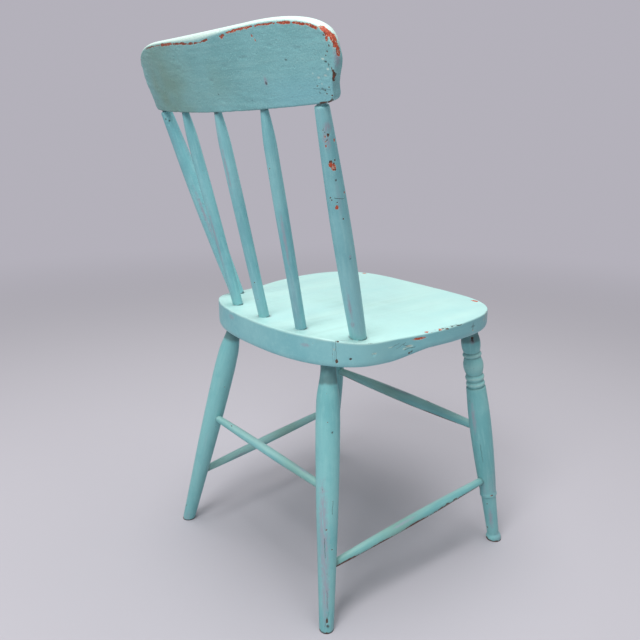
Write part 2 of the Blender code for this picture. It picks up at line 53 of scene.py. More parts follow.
def latticeValue(cell, seed):
    mixed = (cell[:, 0] * 73856093) ^ (cell[:, 1] * 19349663) ^ (cell[:, 2] * 83492791) ^ (seed * 40503)
    mixed = (mixed ^ (mixed >> 13)) * 1274126177
    return ((mixed ^ (mixed >> 16)) & 0xFFFF) / 65535.0


def noiseAt(points, size, seed):
    # From -1 to 1, changing over the given size. The size may differ from axis to axis.
    spot = points / np.array(size)
    base = np.floor(spot).astype(np.int64)
    part = spot - base
    part = part * part * (3 - 2 * part)
    total = np.zeros(len(points))
    for corner in range(8):
        step = np.array([corner & 1, corner >> 1 & 1, corner >> 2 & 1])
        weight = np.prod(np.where(step, part, 1 - part), axis=1)
        total += weight * latticeValue(base + step, seed)
    return total * 2 - 1


def smoothStep(low, high, value):
    share = np.clip((value - low) / (high - low), 0, 1)
    return share * share * (3 - 2 * share)


def bell(offset, spread):
    return np.exp(-((offset / spread) ** 2))


# Marks in the paint. Each is (kind, place, reach) in millimetres in the piece's own coordinates,
# or ("crack", start, end, strength) for a crack or a scratch.

tones = {"red": 0.0, "brown": 0.5, "pale": 1.0}   # what shows in a chip
softMarks = {
    # kind: (layer, share of the reach where it starts and is full, raggedness, strength)
    "rub": ("rub", -0.1, 0.8, 0.4, 1.0),
    "grime": ("grime", -0.1, 0.7, 0.4, 1.0),
    # a bright mark is a painted glint, paler paint where a dent catches the light
    "bright": ("pale", 0.0, 0.3, 0.3, 1.3),
}
hollows = {"dent": 1.0 * mm, "nick": 0.9 * mm, "film": 0.30 * mm}   # depths
cracks = {"wander": 0.7, "fadeFrom": 2.4, "fadeTo": 4.0}            # millimetres
nowhere = 9.0                                                       # millimetres, further than any mark


class Wear:
    # Gathers what the marks do to the points of one piece. Loss says how many millimetres inside
    # the edge of a bare patch a point lies, negative outside it.
    def __init__(self, points, normals, seed):
        self.points = points
        self.normals = normals
        self.seed = seed
        count = len(points)
        # the dark layer holds real dirt and painted shade, and the pale layer holds painted highlights
        self.tone, self.grime, self.rub, self.sink, self.pale = np.zeros((5, count))
        self.bandTone, self.crackShare = np.zeros((2, count))
        self.loss, self.bandWide = np.full((2, count), -nowhere)
        self.bandAway, self.crackAway = np.full((2, count), nowhere)
        self.ragged = sum(noiseAt(points, size * mm, seed + step) * height
                          for step, size, height in ((0, 1.7, 0.35), (1, 3.9, 0.45), (2, 0.9, 0.15)))

    def lose(self, inside, tone):
        self.tone = np.where(inside > self.loss, tone, self.tone)
        self.loss = np.maximum(self.loss, inside)

    def spread(self, layer, amount):
        setattr(self, layer, np.maximum(getattr(self, layer), amount))

    def chip(self, kind, place, reach):
        away = (self.points - np.array(place) * mm) / (np.array(reach) * mm)
        share = 1 - np.sqrt((away ** 2).sum(axis=1))
        if kind in softMarks:
            layer, start, full, raggedness, strength = softMarks[kind]
            self.spread(layer, smoothStep(start, full, share + self.ragged * raggedness) * strength)
        elif kind == "dent":
            self.sink += hollows[kind] * smoothStep(-0.1, 0.9, share)
        elif kind == "nick":
            self.sink += hollows[kind] * smoothStep(0, 1, share)
            self.spread("grime", smoothStep(0, 0.5, share))
        else:
            size = min(reach)
            self.lose(np.maximum(share, -3) * size + self.ragged * min(0.42 * size, 1.3), tones[kind])

    def crack(self, start, end, strength=1.0):
        # The side that a point lies on is kept, so that the paint can draw the line finely.
        a, b = np.array(start) * mm, np.array(end) * mm
        run = b - a
        share = ((self.points - a) @ run) / (run @ run)
        aside = np.cross(run / np.linalg.norm(run), self.normals)
        off = self.points - a - np.clip(share, 0, 1)[:, None] * run
        wander = noiseAt(self.points, 4 * mm, self.seed + 5) * cracks["wander"]
        signed = (off * aside).sum(axis=1) / mm + wander
        near = 1 - smoothStep(cracks["fadeFrom"], cracks["fadeTo"], np.linalg.norm(off, axis=1) / mm)
        closer = (near > 0) & (np.abs(signed) < np.abs(self.crackAway))
        self.crackAway = np.where(closer, signed, self.crackAway)
        self.crackShare = np.where(closer, near * strength, self.crackShare)

    def scatter(self, wide, long, area, rarity, tone):
        # Small bare spots, closer together in some areas.
        spots = noiseAt(self.points, (wide * mm, wide * mm, long * mm), self.seed + 6)
        crowd = noiseAt(self.points, area * mm, self.seed + 7)
        self.lose((spots - rarity + crowd * 0.10) * 6, tone)

    def marks(self, items):
        for item in items:
            if item[0] == "crack":
                self.crack(*item[1:])
            else:
                self.chip(*item)

    def wearBand(self, run, inside, wide, tone):
        # A strip along a worn arris, where its half width is more than that of the strips before it.
        worn = wide + run - (1 - inside) * 6
        wider = worn > self.bandWide
        self.bandTone = np.where(wider, tone, self.bandTone)
        self.bandWide = np.maximum(self.bandWide, worn)
        return wider


# Materials

paint = {
    "top": (0.245, 0.600, 0.605),        # turquoise coat
    "topPale": (0.330, 0.690, 0.680),    # where it is thick
    "topDeep": (0.160, 0.470, 0.500),    # where it is thin
    "rubbed": (0.330, 0.400, 0.470),     # mauve grey of worn paint
    "olive": (0.205, 0.370, 0.300),      # greenish hand dirt
    "blue": (0.225, 0.550, 0.650),       # where the coat is fresher
    "paintedLight": (0.480, 0.745, 0.700),   # painted light: the paler colour where a top faces the lamp, and of painted highlights
    "undercoat": (0.560, 0.090, 0.035),  # old red-orange coat
    "undercoatDark": (0.300, 0.050, 0.025),
    "wood": (0.120, 0.062, 0.040),
    "woodPale": (0.640, 0.560, 0.440),
    # dark of real dirt, also used for painted shade under the seat, in grooves and in gaps
    "grime": (0.055, 0.050, 0.048),
    "roughness": 0.40,
    "bareRoughness": 0.28,               # more where the coat is gone
    "dirtRoughness": 0.25,               # more where it is dirty
    "ior": 1.48,
    "relief": 0.55,                      # strength of all the bumps
    "depth": 0.7 * mm,                   # of the brush marks
    "brush": 0.5,                        # strength of the brush marks
    "streaks": 0.75,                     # of the pale brush streaks
    "flecks": 0.15,                      # of the light and dark grit
    "bumps": 0.10,                       # of the grit in the relief
    "mottle": 0.35,                      # of the darker patches
    "chipEdge": (-0.10, 0.12),           # millimetres over which a chip's edge turns
    "chipRim": 0.45,                     # strength of its pale rim
    "crackLine": (0.22, 0.62),           # millimetres from its middle, dark and gone
    "wander": 3.2,                       # millimetres that a worn arris wanders
    "banded": False,                     # with a worn arris
}
noises = {
    # name: (spots along a metre, detail, roughness)
    "cloud": (9.0, 4.0, 0.6), "patch": (38.0, 4.0, 0.6), "wander": (150.0, 2.0, 0.6),
    "pits": (190.0, 1.0, 0.5), "speck": (420.0, 2.0, 0.6), "flake": (620.0, 2.0, 0.6),
    "fine": (1300.0, 2.0, 0.55),
}
fineness = 3.1   # of the fine brush streaks against the broad ones


def plug(tree, node, inputs):
    # An input is a fixed value or the socket that it comes from.
    for socket, value in inputs.items():
        if isinstance(value, bpy.types.NodeSocket):
            tree.links.new(value, node.inputs[socket])
        else:
            node.inputs[socket].default_value = value


def addNode(tree, kind, inputs=None, **values):
    node = tree.nodes.new(kind)
    for key, value in values.items():
        setattr(node, key, value)
    plug(tree, node, inputs or {})
    return node


def mathNode(tree, operation, first, second, clamp=False):
    node = addNode(tree, "ShaderNodeMath", {0: first, 1: second}, operation=operation, use_clamp=clamp)
    return node.outputs[0]


def rampNode(tree, value, low, high, outLow=0.0, outHigh=1.0):
    inputs = {"Value": value, "From Min": low, "From Max": high, "To Min": outLow, "To Max": outHigh}
    return addNode(tree, "ShaderNodeMapRange", inputs, interpolation_type="SMOOTHSTEP").outputs["Result"]


def mixColor(tree, share, first, second):
    first, second = (color + (1.0,) if isinstance(color, tuple) else color for color in (first, second))
    node = addNode(tree, "ShaderNodeMix", data_type="RGBA", clamp_factor=True)
    plug(tree, node, {0: share, 6: first, 7: second})
    return node.outputs[2]


def noiseNode(tree, vector, scale, detail, roughness, stretch=None):
    if stretch:
        vector = addNode(tree, "ShaderNodeMapping", {"Vector": vector, "Scale": stretch}).outputs["Vector"]
    inputs = {"Vector": vector, "Scale": scale, "Detail": detail, "Roughness": roughness}
    return addNode(tree, "ShaderNodeTexNoise", inputs).outputs["Fac"]


def attributeNode(tree, name, output="Fac"):
    return addNode(tree, "ShaderNodeAttribute", attribute_name=name).outputs[output]


def makePaint(name, grain, changes):
    # Worn turquoise over red-orange over wood. grain is the stretch of the brush marks in the
    # piece's own coordinates, small along the way that the brush went.
    look = {**paint, **changes}
    material = bpy.data.materials.new(name)
    material.use_nodes = True
    tree = material.node_tree
    shader = tree.nodes["Principled BSDF"]
    place = addNode(tree, "ShaderNodeTexCoord").outputs["Object"]
    ownPlace = attributeNode(tree, "grainPlace", "Vector")

    def mix(share, first, second):
        return mixColor(tree, share, first, second)

    def ramp(value, low, high, outLow=0.0, outHigh=1.0):
        return rampNode(tree, value, low, high, outLow, outHigh)

    def times(first, second, clamp=False):
        return mathNode(tree, "MULTIPLY", first, second, clamp)

    def plus(first, second, clamp=False):
        return mathNode(tree, "ADD", first, second, clamp)

    def minus(first, second):
        return mathNode(tree, "SUBTRACT", first, second)

    def noise(kind):
        return noiseNode(tree, place, *noises[kind])

    loss = attributeNode(tree, "paintLoss")
    tone = attributeNode(tree, "bareTone")
    tint = attributeNode(tree, "tint")
    cloud, patch, speck, fine, flake = (noise(kind) for kind in ("cloud", "patch", "speck", "fine", "flake"))
    streak = noiseNode(tree, ownPlace, 1.0, 4.0, 0.6, grain)
    fineStreak = noiseNode(tree, ownPlace, 1.0, 3.0, 0.6, tuple(fineness * value for value in grain))

    # the turquoise coat
    coat = mix(ramp(cloud, 0.38, 0.66), look["top"], look["topDeep"])
    coat = mix(ramp(streak, 0.45, 0.75, 0.0, look["streaks"]), coat, look["topPale"])
    coat = mix(ramp(patch, 0.55, 0.72, 0.0, look["mottle"]), coat, look["topDeep"])
    coat = mix(ramp(flake, 0.54, 0.68, 0.0, look["flecks"]), coat, look["topPale"])
    coat = mix(ramp(flake, 0.46, 0.32, 0.0, look["flecks"]), coat, look["topDeep"])
    # painted light: lit tops and painted highlights take the paler colour
    coat = mix(attributeNode(tree, "paintedLight"), coat, look["paintedLight"])
    coat = mix(ramp(tint, 0.0, 1.0), coat, look["olive"])
    coat = mix(ramp(tint, 0.0, -1.0, 0.0, 0.6), coat, look["blue"])
    rubbed = times(attributeNode(tree, "rubbed"), ramp(fineStreak, 0.30, 0.55, 0.15, 1.0))
    coat = mix(rubbed, coat, look["rubbed"])
    coat = mix(ramp(speck, 0.70, 0.80, 0.0, 0.35), coat, look["topDeep"])

    # what lies under it
    under = mix(ramp(flake, 0.46, 0.62), look["undercoat"], look["undercoatDark"])
    under = mix(ramp(speck, 0.56, 0.64, 0.0, 0.7), under, look["woodPale"])
    under = mix(ramp(tone, 0.0, 0.5), under, look["wood"])
    under = mix(ramp(tone, 0.5, 1.0), under, look["woodPale"])

    # chips, worn arrises, cracks and dirt, with edges ragged by the grit
    ragged = plus(times(minus(fine, 0.5), 1.5), times(minus(speck, 0.5), 2.0))
    if look["banded"]:
        wander = times(minus(noise("wander"), 0.5), look["wander"])
        across = mathNode(tree, "ABSOLUTE", plus(attributeNode(tree, "bandAway"), wander), 0.0)
        loss = mathNode(tree, "MAXIMUM", loss, minus(attributeNode(tree, "bandWide"), across))
    edge = plus(loss, ragged)
    bare = ramp(edge, *look["chipEdge"])
    rim = times(ramp(edge, -0.9, -0.1), minus(1.0, bare))
    coat = mix(times(rim, look["chipRim"]), coat, look["topPale"])
    shade = mix(bare, coat, under)
    crackAway = mathNode(tree, "ABSOLUTE", plus(attributeNode(tree, "crackAway"), minus(fine, 0.5)), 0.0)
    crack = times(ramp(crackAway, *look["crackLine"], 1.0, 0.0), attributeNode(tree, "crackShare"))
    # real dirt and painted shade darken the coat together
    dirtAndShade = times(attributeNode(tree, "grime"), ramp(patch, 0.2, 0.55, 0.75, 1.0), True)
    dirtAndShade = mathNode(tree, "MAXIMUM", dirtAndShade, crack)
    shade = mix(dirtAndShade, shade, look["grime"])

    # finish
    satin = ramp(patch, 0.3, 0.7, look["roughness"] - 0.05, look["roughness"] + 0.09)
    rough = plus(satin, times(bare, look["bareRoughness"]))
    rough = plus(rough, times(dirtAndShade, look["dirtRoughness"]), True)
    relief = times(streak, look["brush"])
    relief = plus(relief, times(fineStreak, look["brush"] * 0.35))
    relief = plus(relief, times(speck, look["bumps"]))
    relief = minus(relief, times(bare, 0.8))
    relief = minus(relief, times(crack, 0.9))
    relief = minus(relief, times(ramp(noise("pits"), 0.66, 0.80, 0.0, 0.8), look["brush"]))
    bump = addNode(tree, "ShaderNodeBump", {
        "Strength": look["relief"], "Distance": look["depth"], "Height": relief})
    plug(tree, shader, {
        "Base Color": shade, "Roughness": rough, "IOR": look["ior"], "Normal": bump.outputs["Normal"]})
    return material


turnedGrain = (260.0, 260.0, 26.0)
seatPaint = makePaint("seatPaint", (150.0, 16.0, 150.0), {
    "top": (0.270, 0.585, 0.620), "topPale": (0.340, 0.660, 0.680), "topDeep": (0.205, 0.510, 0.560),
    "brush": 0.35, "streaks": 0.35, "roughness": 0.36, "mottle": 0.10, "banded": True})
legPaint = makePaint("legPaint", turnedGrain, {
    "top": (0.240, 0.570, 0.585), "topPale": (0.320, 0.650, 0.650), "streaks": 0.45})
backPaint = makePaint("backPaint", turnedGrain, {
    "top": (0.270, 0.600, 0.640), "topPale": (0.355, 0.690, 0.710), "topDeep": (0.185, 0.480, 0.530),
    "streaks": 0.55})
crestPaint = makePaint("crestPaint", (14.0, 150.0, 150.0), {
    "top": (0.250, 0.555, 0.580), "topPale": (0.330, 0.640, 0.640), "topDeep": (0.200, 0.470, 0.490),
    # the paler colour here is the painted highlight on the rounded top edge
    "paintedLight": (0.640, 0.820, 0.745), "brush": 0.60, "bumps": 0.80, "flecks": 0.75, "streaks": 0.50,
    "roughness": 0.42, "depth": 1.3 * mm, "banded": True})
print("paints mixed")


def vertexValues(mesh, kind):
    values = np.zeros(len(mesh.vertices) * 3)
    mesh.vertices.foreach_get(kind, values)
    return values.reshape(-1, 3)


def dress(name, node, material, mesh, ownPoints, wear, tint, paintedLight=0.0):
    # Sinks the marks into the mesh, stores what the paint reads, and puts the piece on the frame.
    normals = vertexValues(mesh, "normal")
    places = vertexValues(mesh, "co")
    band = wear.bandWide - np.abs(wear.bandAway)
    wear.tone = np.where(band > np.maximum(wear.loss, -6), wear.bandTone, wear.tone)
    bare = np.maximum(wear.loss, band)
    step = smoothStep(-0.3, 0.6, bare) * hollows["film"]
    places -= normals * (step + wear.sink)[:, None]
    places[:, 2] = np.maximum(places[:, 2], 0.0)
    mesh.vertices.foreach_set("co", places.ravel())
    mesh.attributes.new("grainPlace", "FLOAT_VECTOR", "POINT").data.foreach_set("vector", ownPoints.ravel())
    # the paler colour of painted light goes in its own attribute, together with the painted highlights of the
    # marks
    for key, values in (("paintLoss", wear.loss), ("bareTone", wear.tone), ("grime", wear.grime),
                        ("rubbed", wear.rub), ("tint", tint), ("bandAway", wear.bandAway),
                        ("bandWide", wear.bandWide), ("crackAway", wear.crackAway),
                        ("crackShare", wear.crackShare), ("paintedLight", np.maximum(paintedLight, wear.pale))):
        mesh.attributes.new(key, "FLOAT", "POINT").data.foreach_set("value", values.astype(np.float32))
    mesh.materials.clear()
    mesh.materials.append(material)
    mesh.shade_smooth()
    mesh.update()
    piece = bpy.data.objects.new(name, mesh)
    bpy.context.scene.collection.objects.link(piece)
    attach(piece, "root")
    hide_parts(node)


# Turned wood: a Geometry Nodes tree spins the line of radii and leaves it slightly out of round

turning = {
    "step": 1.25 * mm,       # between rings
    "outOfRound": 0.35 * mm,
    "bends": 14.0,           # of the out of round along a metre
    "ripple": 0.10 * mm,
    "rippleSize": 6 * mm,
}


def makeTurningTree():
    tree = bpy.data.node_groups.new("turnedWood", "GeometryNodeTree")
    face = tree.interface
    face.new_socket("Geometry", in_out="INPUT", socket_type="NodeSocketGeometry")
    for label, kind in (("Sides", "Int"), ("Out of Round", "Float"), ("Ripple", "Float"),
                        ("Ripple Size", "Float"), ("Seed", "Float"), ("Paint", "Material")):
        face.new_socket(label, in_out="INPUT", socket_type="NodeSocket" + kind)
    face.new_socket("Geometry", in_out="OUTPUT", socket_type="NodeSocketGeometry")
    given = addNode(tree, "NodeGroupInput").outputs
    circle = addNode(tree, "GeometryNodeCurvePrimitiveCircle", {"Radius": 1.0, "Resolution": given["Sides"]})
    sweep = addNode(tree, "GeometryNodeCurveToMesh", {
        "Curve": given["Geometry"], "Profile Curve": circle.outputs["Curve"],
        "Scale": addNode(tree, "GeometryNodeInputRadius").outputs["Radius"], "Fill Caps": True})
    place = addNode(tree, "GeometryNodeInputPosition").outputs[0]
    shifted = addNode(tree, "ShaderNodeVectorMath", {0: place, 1: given["Seed"]}, operation="ADD").outputs[0]
    amounts = []
    for label, scale in (("Out of Round", turning["bends"]),
                         ("Ripple", mathNode(tree, "DIVIDE", 1.0, given["Ripple Size"]))):
        waves = addNode(tree, "ShaderNodeTexNoise", {"Vector": shifted, "Scale": scale, "Detail": 1.0})
        centred = mathNode(tree, "SUBTRACT", waves.outputs[0], 0.5)
        amounts.append(mathNode(tree, "MULTIPLY", centred, given[label]))
    normal = addNode(tree, "GeometryNodeInputNormal").outputs["Normal"]
    offset = addNode(tree, "ShaderNodeVectorMath", {0: normal, "Scale": mathNode(tree, "ADD", *amounts)},
                     operation="SCALE")
    geometry = addNode(tree, "GeometryNodeSetPosition", {
        "Geometry": sweep.outputs["Mesh"], "Offset": offset.outputs[0]}).outputs["Geometry"]
    geometry = addNode(tree, "GeometryNodeRealizeInstances", {"Geometry": geometry}).outputs["Geometry"]
    geometry = addNode(tree, "GeometryNodeSetMaterial", {
        "Geometry": geometry, "Material": given["Paint"]}).outputs["Geometry"]
    addNode(tree, "NodeGroupOutput", {"Geometry": geometry})
    return tree


turningTree = makeTurningTree()


def curveBetween(kind, share):
    if kind == "wave":
        return (1 - np.cos(np.pi * share)) / 2
    if kind == "swell":
        return np.sin(np.pi * share / 2)
    if kind == "dive":
        return 1 - np.cos(np.pi * share / 2)
    return share


def turnedRadii(profile):
    # profile is a list of (kind of curve to here, place along, radius). A number as the kind makes a
    # bead of this top radius between two grooves.
    alongs, radii = [], []
    for (_, fromAlong, fromRadius), (kind, toAlong, toRadius) in zip(profile, profile[1:]):
        steps = max(2, int(math.ceil((toAlong - fromAlong) / turning["step"])))
        share = np.arange(steps) / steps
        alongs.append(fromAlong + (toAlong - fromAlong) * share)
        if isinstance(kind, float):
            radii.append(fromRadius + (kind - fromRadius) * np.sin(np.pi * share)
                         + (toRadius - fromRadius) * share)
        else:
            radii.append(fromRadius + (toRadius - fromRadius) * curveBetween(kind, share))
    alongs.append([profile[-1][1]])
    radii.append([profile[-1][2]])
    return np.concatenate(alongs), np.concatenate(radii)


def turnPiece(node, material, start, end, profile, sides, seed, marks, extra, floorCut=False):
    name = node.title().replace("_", "")
    alongs, radii = turnedRadii(profile)
    curve = bpy.data.curves.new(name + "Line", "CURVE")
    curve.dimensions = "3D"
    spline = curve.splines.new("POLY")
    spline.points.add(len(alongs) - 1)
    for point, along, radius in zip(spline.points, alongs, radii):
        point.co = (0, 0, along, 1)
        point.radius = radius
    blank = bpy.data.objects.new(name + "Blank", curve)
    bpy.context.scene.collection.objects.link(blank)
    lathe = blank.modifiers.new("turning", "NODES")
    lathe.node_group = turningTree
    values = {"Sides": sides, "Out of Round": turning["outOfRound"], "Ripple": turning["ripple"],
              "Ripple Size": turning["rippleSize"], "Seed": float(seed), "Paint": material}
    for item in turningTree.interface.items_tree:
        if item.in_out == "INPUT" and item.name in values:
            lathe[item.identifier] = values[item.name]
    graph = bpy.context.evaluated_depsgraph_get()
    mesh = bpy.data.meshes.new_from_object(blank.evaluated_get(graph))
    blank.modifiers.remove(lathe)
    bpy.data.objects.remove(blank)

    axis = end - start
    toFrame = Matrix.Translation(start) @ axis.to_track_quat("Z", "Y").to_matrix().to_4x4()
    shape = bmesh.new()
    shape.from_mesh(mesh)
    shape.transform(toFrame)
    if floorCut:
        parts = list(shape.verts) + list(shape.edges) + list(shape.faces)
        cut = bmesh.ops.bisect_plane(
            shape, geom=parts, plane_co=(0, 0, 0), plane_no=(0, 0, -1), clear_outer=True)
        rim = [item for item in cut["geom_cut"] if isinstance(item, bmesh.types.BMEdge)]
        bmesh.ops.contextual_create(shape, geom=rim)
    bmesh.ops.recalc_face_normals(shape, faces=shape.faces)
    shape.to_mesh(mesh)
    shape.free()

    places = vertexValues(mesh, "co")
    back = np.array(toFrame.inverted())
    own = places @ back[:3, :3].T + back[:3, 3]
    wear = Wear(own, vertexValues(mesh, "normal") @ back[:3, :3].T, seed)
    for item in marks:
        # (kind, turn in degrees, height, half width, half length), all but the turn in millimetres,
        # or ("crack", turn, height, strength, turn on, rise)
        kind, turn, height = item[:3]
        radius = float(np.interp(height * mm, alongs, radii)) / mm
        angle = math.radians(turn)
        spot = (radius * math.cos(angle), radius * math.sin(angle), height)
        if kind == "crack":
            other = math.radians(turn + item[4])
            far = (radius * math.cos(other), radius * math.sin(other), height + item[5])
            wear.crack(spot, far, item[3])
        else:
            wear.chip(kind, spot, (item[3], item[3], item[4]))
    extra(wear, own, places, axis.length)
    tint = noiseAt(own, 70 * mm, seed + 9) * 0.25 + (0.35 if "stretcher" in node else 0.0)
    dress(name, node, material, mesh, own, wear, tint)
    print(name, "turned:", len(mesh.polygons), "faces")


# Where things sit. The seat's box places the chair's own coordinates in the frame.

seatShape = {
    "top": 435 * mm, "thick": 41.5 * mm, "width": 417.2 * mm, "rear": 173 * mm, "front": 210 * mm,
    "rearSquare": 2.6, "frontSquare": 4.0,
    "waist": 14 * mm, "waistFromRear": 125 * mm, "waistSpread": 54 * mm,
    "drop": 6.8 * mm, "dropFromRear": 114 * mm, "dropSpread": 122 * mm, "dropReach": 75 * mm,
    "undercut": 13 * mm, "undercutReach": 35 * mm, "undercutFromRear": 112 * mm, "undercutRun": 84 * mm,
    "edge": 2.4 * mm, "lowEdge": 3.2 * mm, "lowEdgeHeight": 8 * mm,
    "around": 784, "samples": 24001, "sideRows": 22, "rimRows": 10, "rimWidth": 26 * mm,
    "rimCrowding": 1.3, "undersideGap": 4 * mm,
}
seatLow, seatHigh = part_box("seat")
origin = Vector(((seatLow.x + seatHigh.x) / 2, seatHigh.y - seatShape["rear"], 0))
underside = seatShape["top"] - seatShape["thick"]


def seatTop(x, y):
    fromDrop = seatShape["rear"] - seatShape["dropFromRear"] - y
    drop = seatShape["drop"] * bell(fromDrop, seatShape["dropSpread"])
    flat = seatShape["width"] / 2 - seatShape["waist"] - seatShape["dropReach"]
    return seatShape["top"] - drop * smoothStep(0, seatShape["dropReach"], np.abs(x) - flat)


def seatBottom(y, inset):
    rise = seatShape["undercut"] * smoothStep(
        0, seatShape["undercutRun"], seatShape["rear"] - seatShape["undercutFromRear"] - y)
    return underside + rise * (1 - smoothStep(0, seatShape["undercutReach"], inset))


crestShape = {
    "aboveSeat": 301.4 * mm, "behindSeat": 43.6 * mm, "rake": math.radians(17.5), "bend": 926 * mm,
    "length": 480 * mm, "bottomLength": 452 * mm, "height": 98.8 * mm, "widestDrop": 50 * mm,
    "shoulder": 120 * mm, "flatness": 2.2, "fullness": 3.4, "corner": 10 * mm, "thick": 16 * mm,
    "topRound": 7.8 * mm, "roundFlat": 0.62, "edgeRound": 1.5 * mm,
    "grip": 5.5 * mm, "gripOffset": -12 * mm, "gripSpread": 55 * mm,
    "columns": 300, "rows": 64, "roundSteps": 7, "ringTopDrop": 9 * mm, "ringBottomRise": 3 * mm,
    "cornerSamples": 60, "endSamples": 400, "shoulderSamples": 900,
}


def crestPoint(along, up, out):
    angle = along / crestShape["bend"]
    x = (crestShape["bend"] + out) * np.sin(angle)
    deep = (crestShape["bend"] + out) * np.cos(angle) - crestShape["bend"]
    rake = crestShape["rake"]
    y = seatShape["rear"] + crestShape["behindSeat"] + deep * np.cos(rake) + up * np.sin(rake)
    z = seatShape["top"] + crestShape["aboveSeat"] - deep * np.sin(rake) + up * np.cos(rake)
    return np.stack([x, y, z], axis=-1)


# Legs

legs = {
    "rearFromSide": 82.6 * mm, "rearFromRear": 51.7 * mm,
    "frontFromSide": 41.3 * mm, "frontFromFront": 64.7 * mm,
    # sideways and lengthways run for each metre of height
    "rearRightLean": (0.1711, 0.1359), "rearLeftLean": (0.1753, 0.1922),
    "frontRightLean": (0.0987, 0.1591), "frontLeftLean": (0.1503, 0.0968),
    "trim": 12 * mm, "intoSeat": 3 * mm, "sides": 84,
}


def legEnds(side, lean, front):
    fromSide = legs["frontFromSide"] if front else legs["rearFromSide"]
    fromEdge = legs["frontFromFront"] if front else legs["rearFromRear"]
    direction = -1 if front else 1
    edge = seatShape["front"] if front else seatShape["rear"]
    head = Vector((side * (seatShape["width"] / 2 - fromSide), direction * (edge - fromEdge), underside))
    foot = head + Vector((side * lean[0], direction * lean[1], -1.0)) * underside
    return foot + origin, head + origin


legLines = {
    "rear_leg_right": legEnds(-1, legs["rearRightLean"], False),
    "rear_leg_left": legEnds(1, legs["rearLeftLean"], False),
    "front_leg_right": legEnds(-1, legs["frontRightLean"], True),
    "front_leg_left": legEnds(1, legs["frontLeftLean"], True),
}


def rearLegProfile(length):
    return [("", -legs["trim"], 10.9 * mm), ("straight", 0.0, 10.9 * mm), ("straight", 145 * mm, 15.35 * mm),
            ("swell", length - 98 * mm, 18.1 * mm), ("dive", length - 64 * mm, 17.25 * mm),
            ("wave", length - 10 * mm, 11.25 * mm), ("straight", length + legs["intoSeat"], 11.25 * mm)]


frontTurning = {
    "bead": 12 * mm, "beadRadius": 15.6 * mm, "barrel": 31.4 * mm, "barrelRadius": 16.5 * mm,
    "collar": 8.3 * mm, "collarRadius": 15.6 * mm, "cap": 30 * mm, "capRadius": 15.6 * mm, "capGap": 3 * mm,
    "groove": 13.3 * mm, "neck": 13.5 * mm,
}


def turningPlaces(length):
    # where the beads, the barrel, the collar and the cap begin
    t = frontTurning
    capLow = length - t["capGap"] - t["cap"]
    collarLow = capLow - t["collar"]
    barrelLow = collarLow - t["barrel"]
    return barrelLow - 2 * t["bead"], barrelLow, collarLow, capLow


def frontLegProfile(length):
    t = frontTurning
    beadLow, barrelLow, collarLow, capLow = turningPlaces(length)
    return [("", -legs["trim"], 13.1 * mm), ("straight", 5.5 * mm, 13.1 * mm), ("dive", 9 * mm, 12.1 * mm),
            ("wave", 12.5 * mm, 10.2 * mm), ("straight", 91.5 * mm, 12.9 * mm), ("wave", 94 * mm, 14.6 * mm),
            ("straight", 97.8 * mm, 14.6 * mm), ("wave", 100.2 * mm, 13.9 * mm),
            ("swell", 233 * mm, 18.45 * mm), ("dive", beadLow, 16.2 * mm),
            ("wave", beadLow + 1.4 * mm, t["groove"]),
            (t["beadRadius"], beadLow + t["bead"] + 0.7 * mm, t["groove"]),
            (t["beadRadius"], barrelLow + 0.4 * mm, t["groove"]), (t["barrelRadius"], collarLow, t["groove"]),
            (t["collarRadius"], capLow, t["groove"]), (t["capRadius"], capLow + t["cap"], t["neck"]),
            ("straight", length + legs["intoSeat"], t["neck"])]


def legWear(wear, own, places, length, seatShadowDown=33 * mm):
    # dark rims at the foot, a painted shadow of the seat across the top of the leg, rubbed lower half, bare
    # spots scattered on the shaft
    foot, height = places[:, 2], own[:, 2]
    ragged = noiseAt(own, 5 * mm, wear.seed + 3)
    wear.spread("grime", smoothStep(3.2 * mm, 0.2 * mm, foot + ragged * 1.6 * mm) * 0.9)
    wear.lose(2.4 - foot / mm + ragged * 2.2, 0.5)
    # painted shadow of the seat's edge across the top of the leg
    wear.spread("grime", smoothStep(-3 * mm, 2 * mm, height - length + seatShadowDown + ragged * 1.5 * mm) * 0.55)
    low = smoothStep(0.62 * length, 0.2 * length, height)
    streaks = noiseAt(own, (9 * mm, 9 * mm, 60 * mm), wear.seed + 4)
    wear.spread("rub", low * smoothStep(0.1, 0.8, streaks) * 0.5)
    wear.spread("grime", low * 0.10)
    wear.scatter(2.6, 4.5, 40, 0.90, 0.35)


def frontLegWear(wear, own, places, length):
    # painted shade darkens the grooves of the turning, and painted highlights pale its crests and the barrel
    # the front legs get a narrower painted shadow of the seat at the top of the cap
    legWear(wear, own, places, length, 12 * mm)
    bead, height = frontTurning["bead"], own[:, 2]
    beadLow, barrelLow, collarLow, capLow = turningPlaces(length)
    patchy = 0.75 + 0.25 * noiseAt(own, 6 * mm, wear.seed + 8)
    for groove in (beadLow + 1 * mm, beadLow + bead + 0.4 * mm, barrelLow + 0.2 * mm, collarLow, capLow):
        # painted shade in each groove
        wear.spread("grime", bell(height - groove, 1.0 * mm) * 0.6 * patchy)
    for crest in (beadLow + 7.5 * mm, beadLow + bead + 7 * mm, capLow - 3.2 * mm):
        # painted highlight on each crest
        wear.spread("pale", bell(height - crest, 2.4 * mm) * 0.75 * patchy)
    # a broad painted highlight down the middle of the barrel
    wear.spread("pale", bell(height - barrelLow - 16 * mm, 9 * mm) * 0.25)


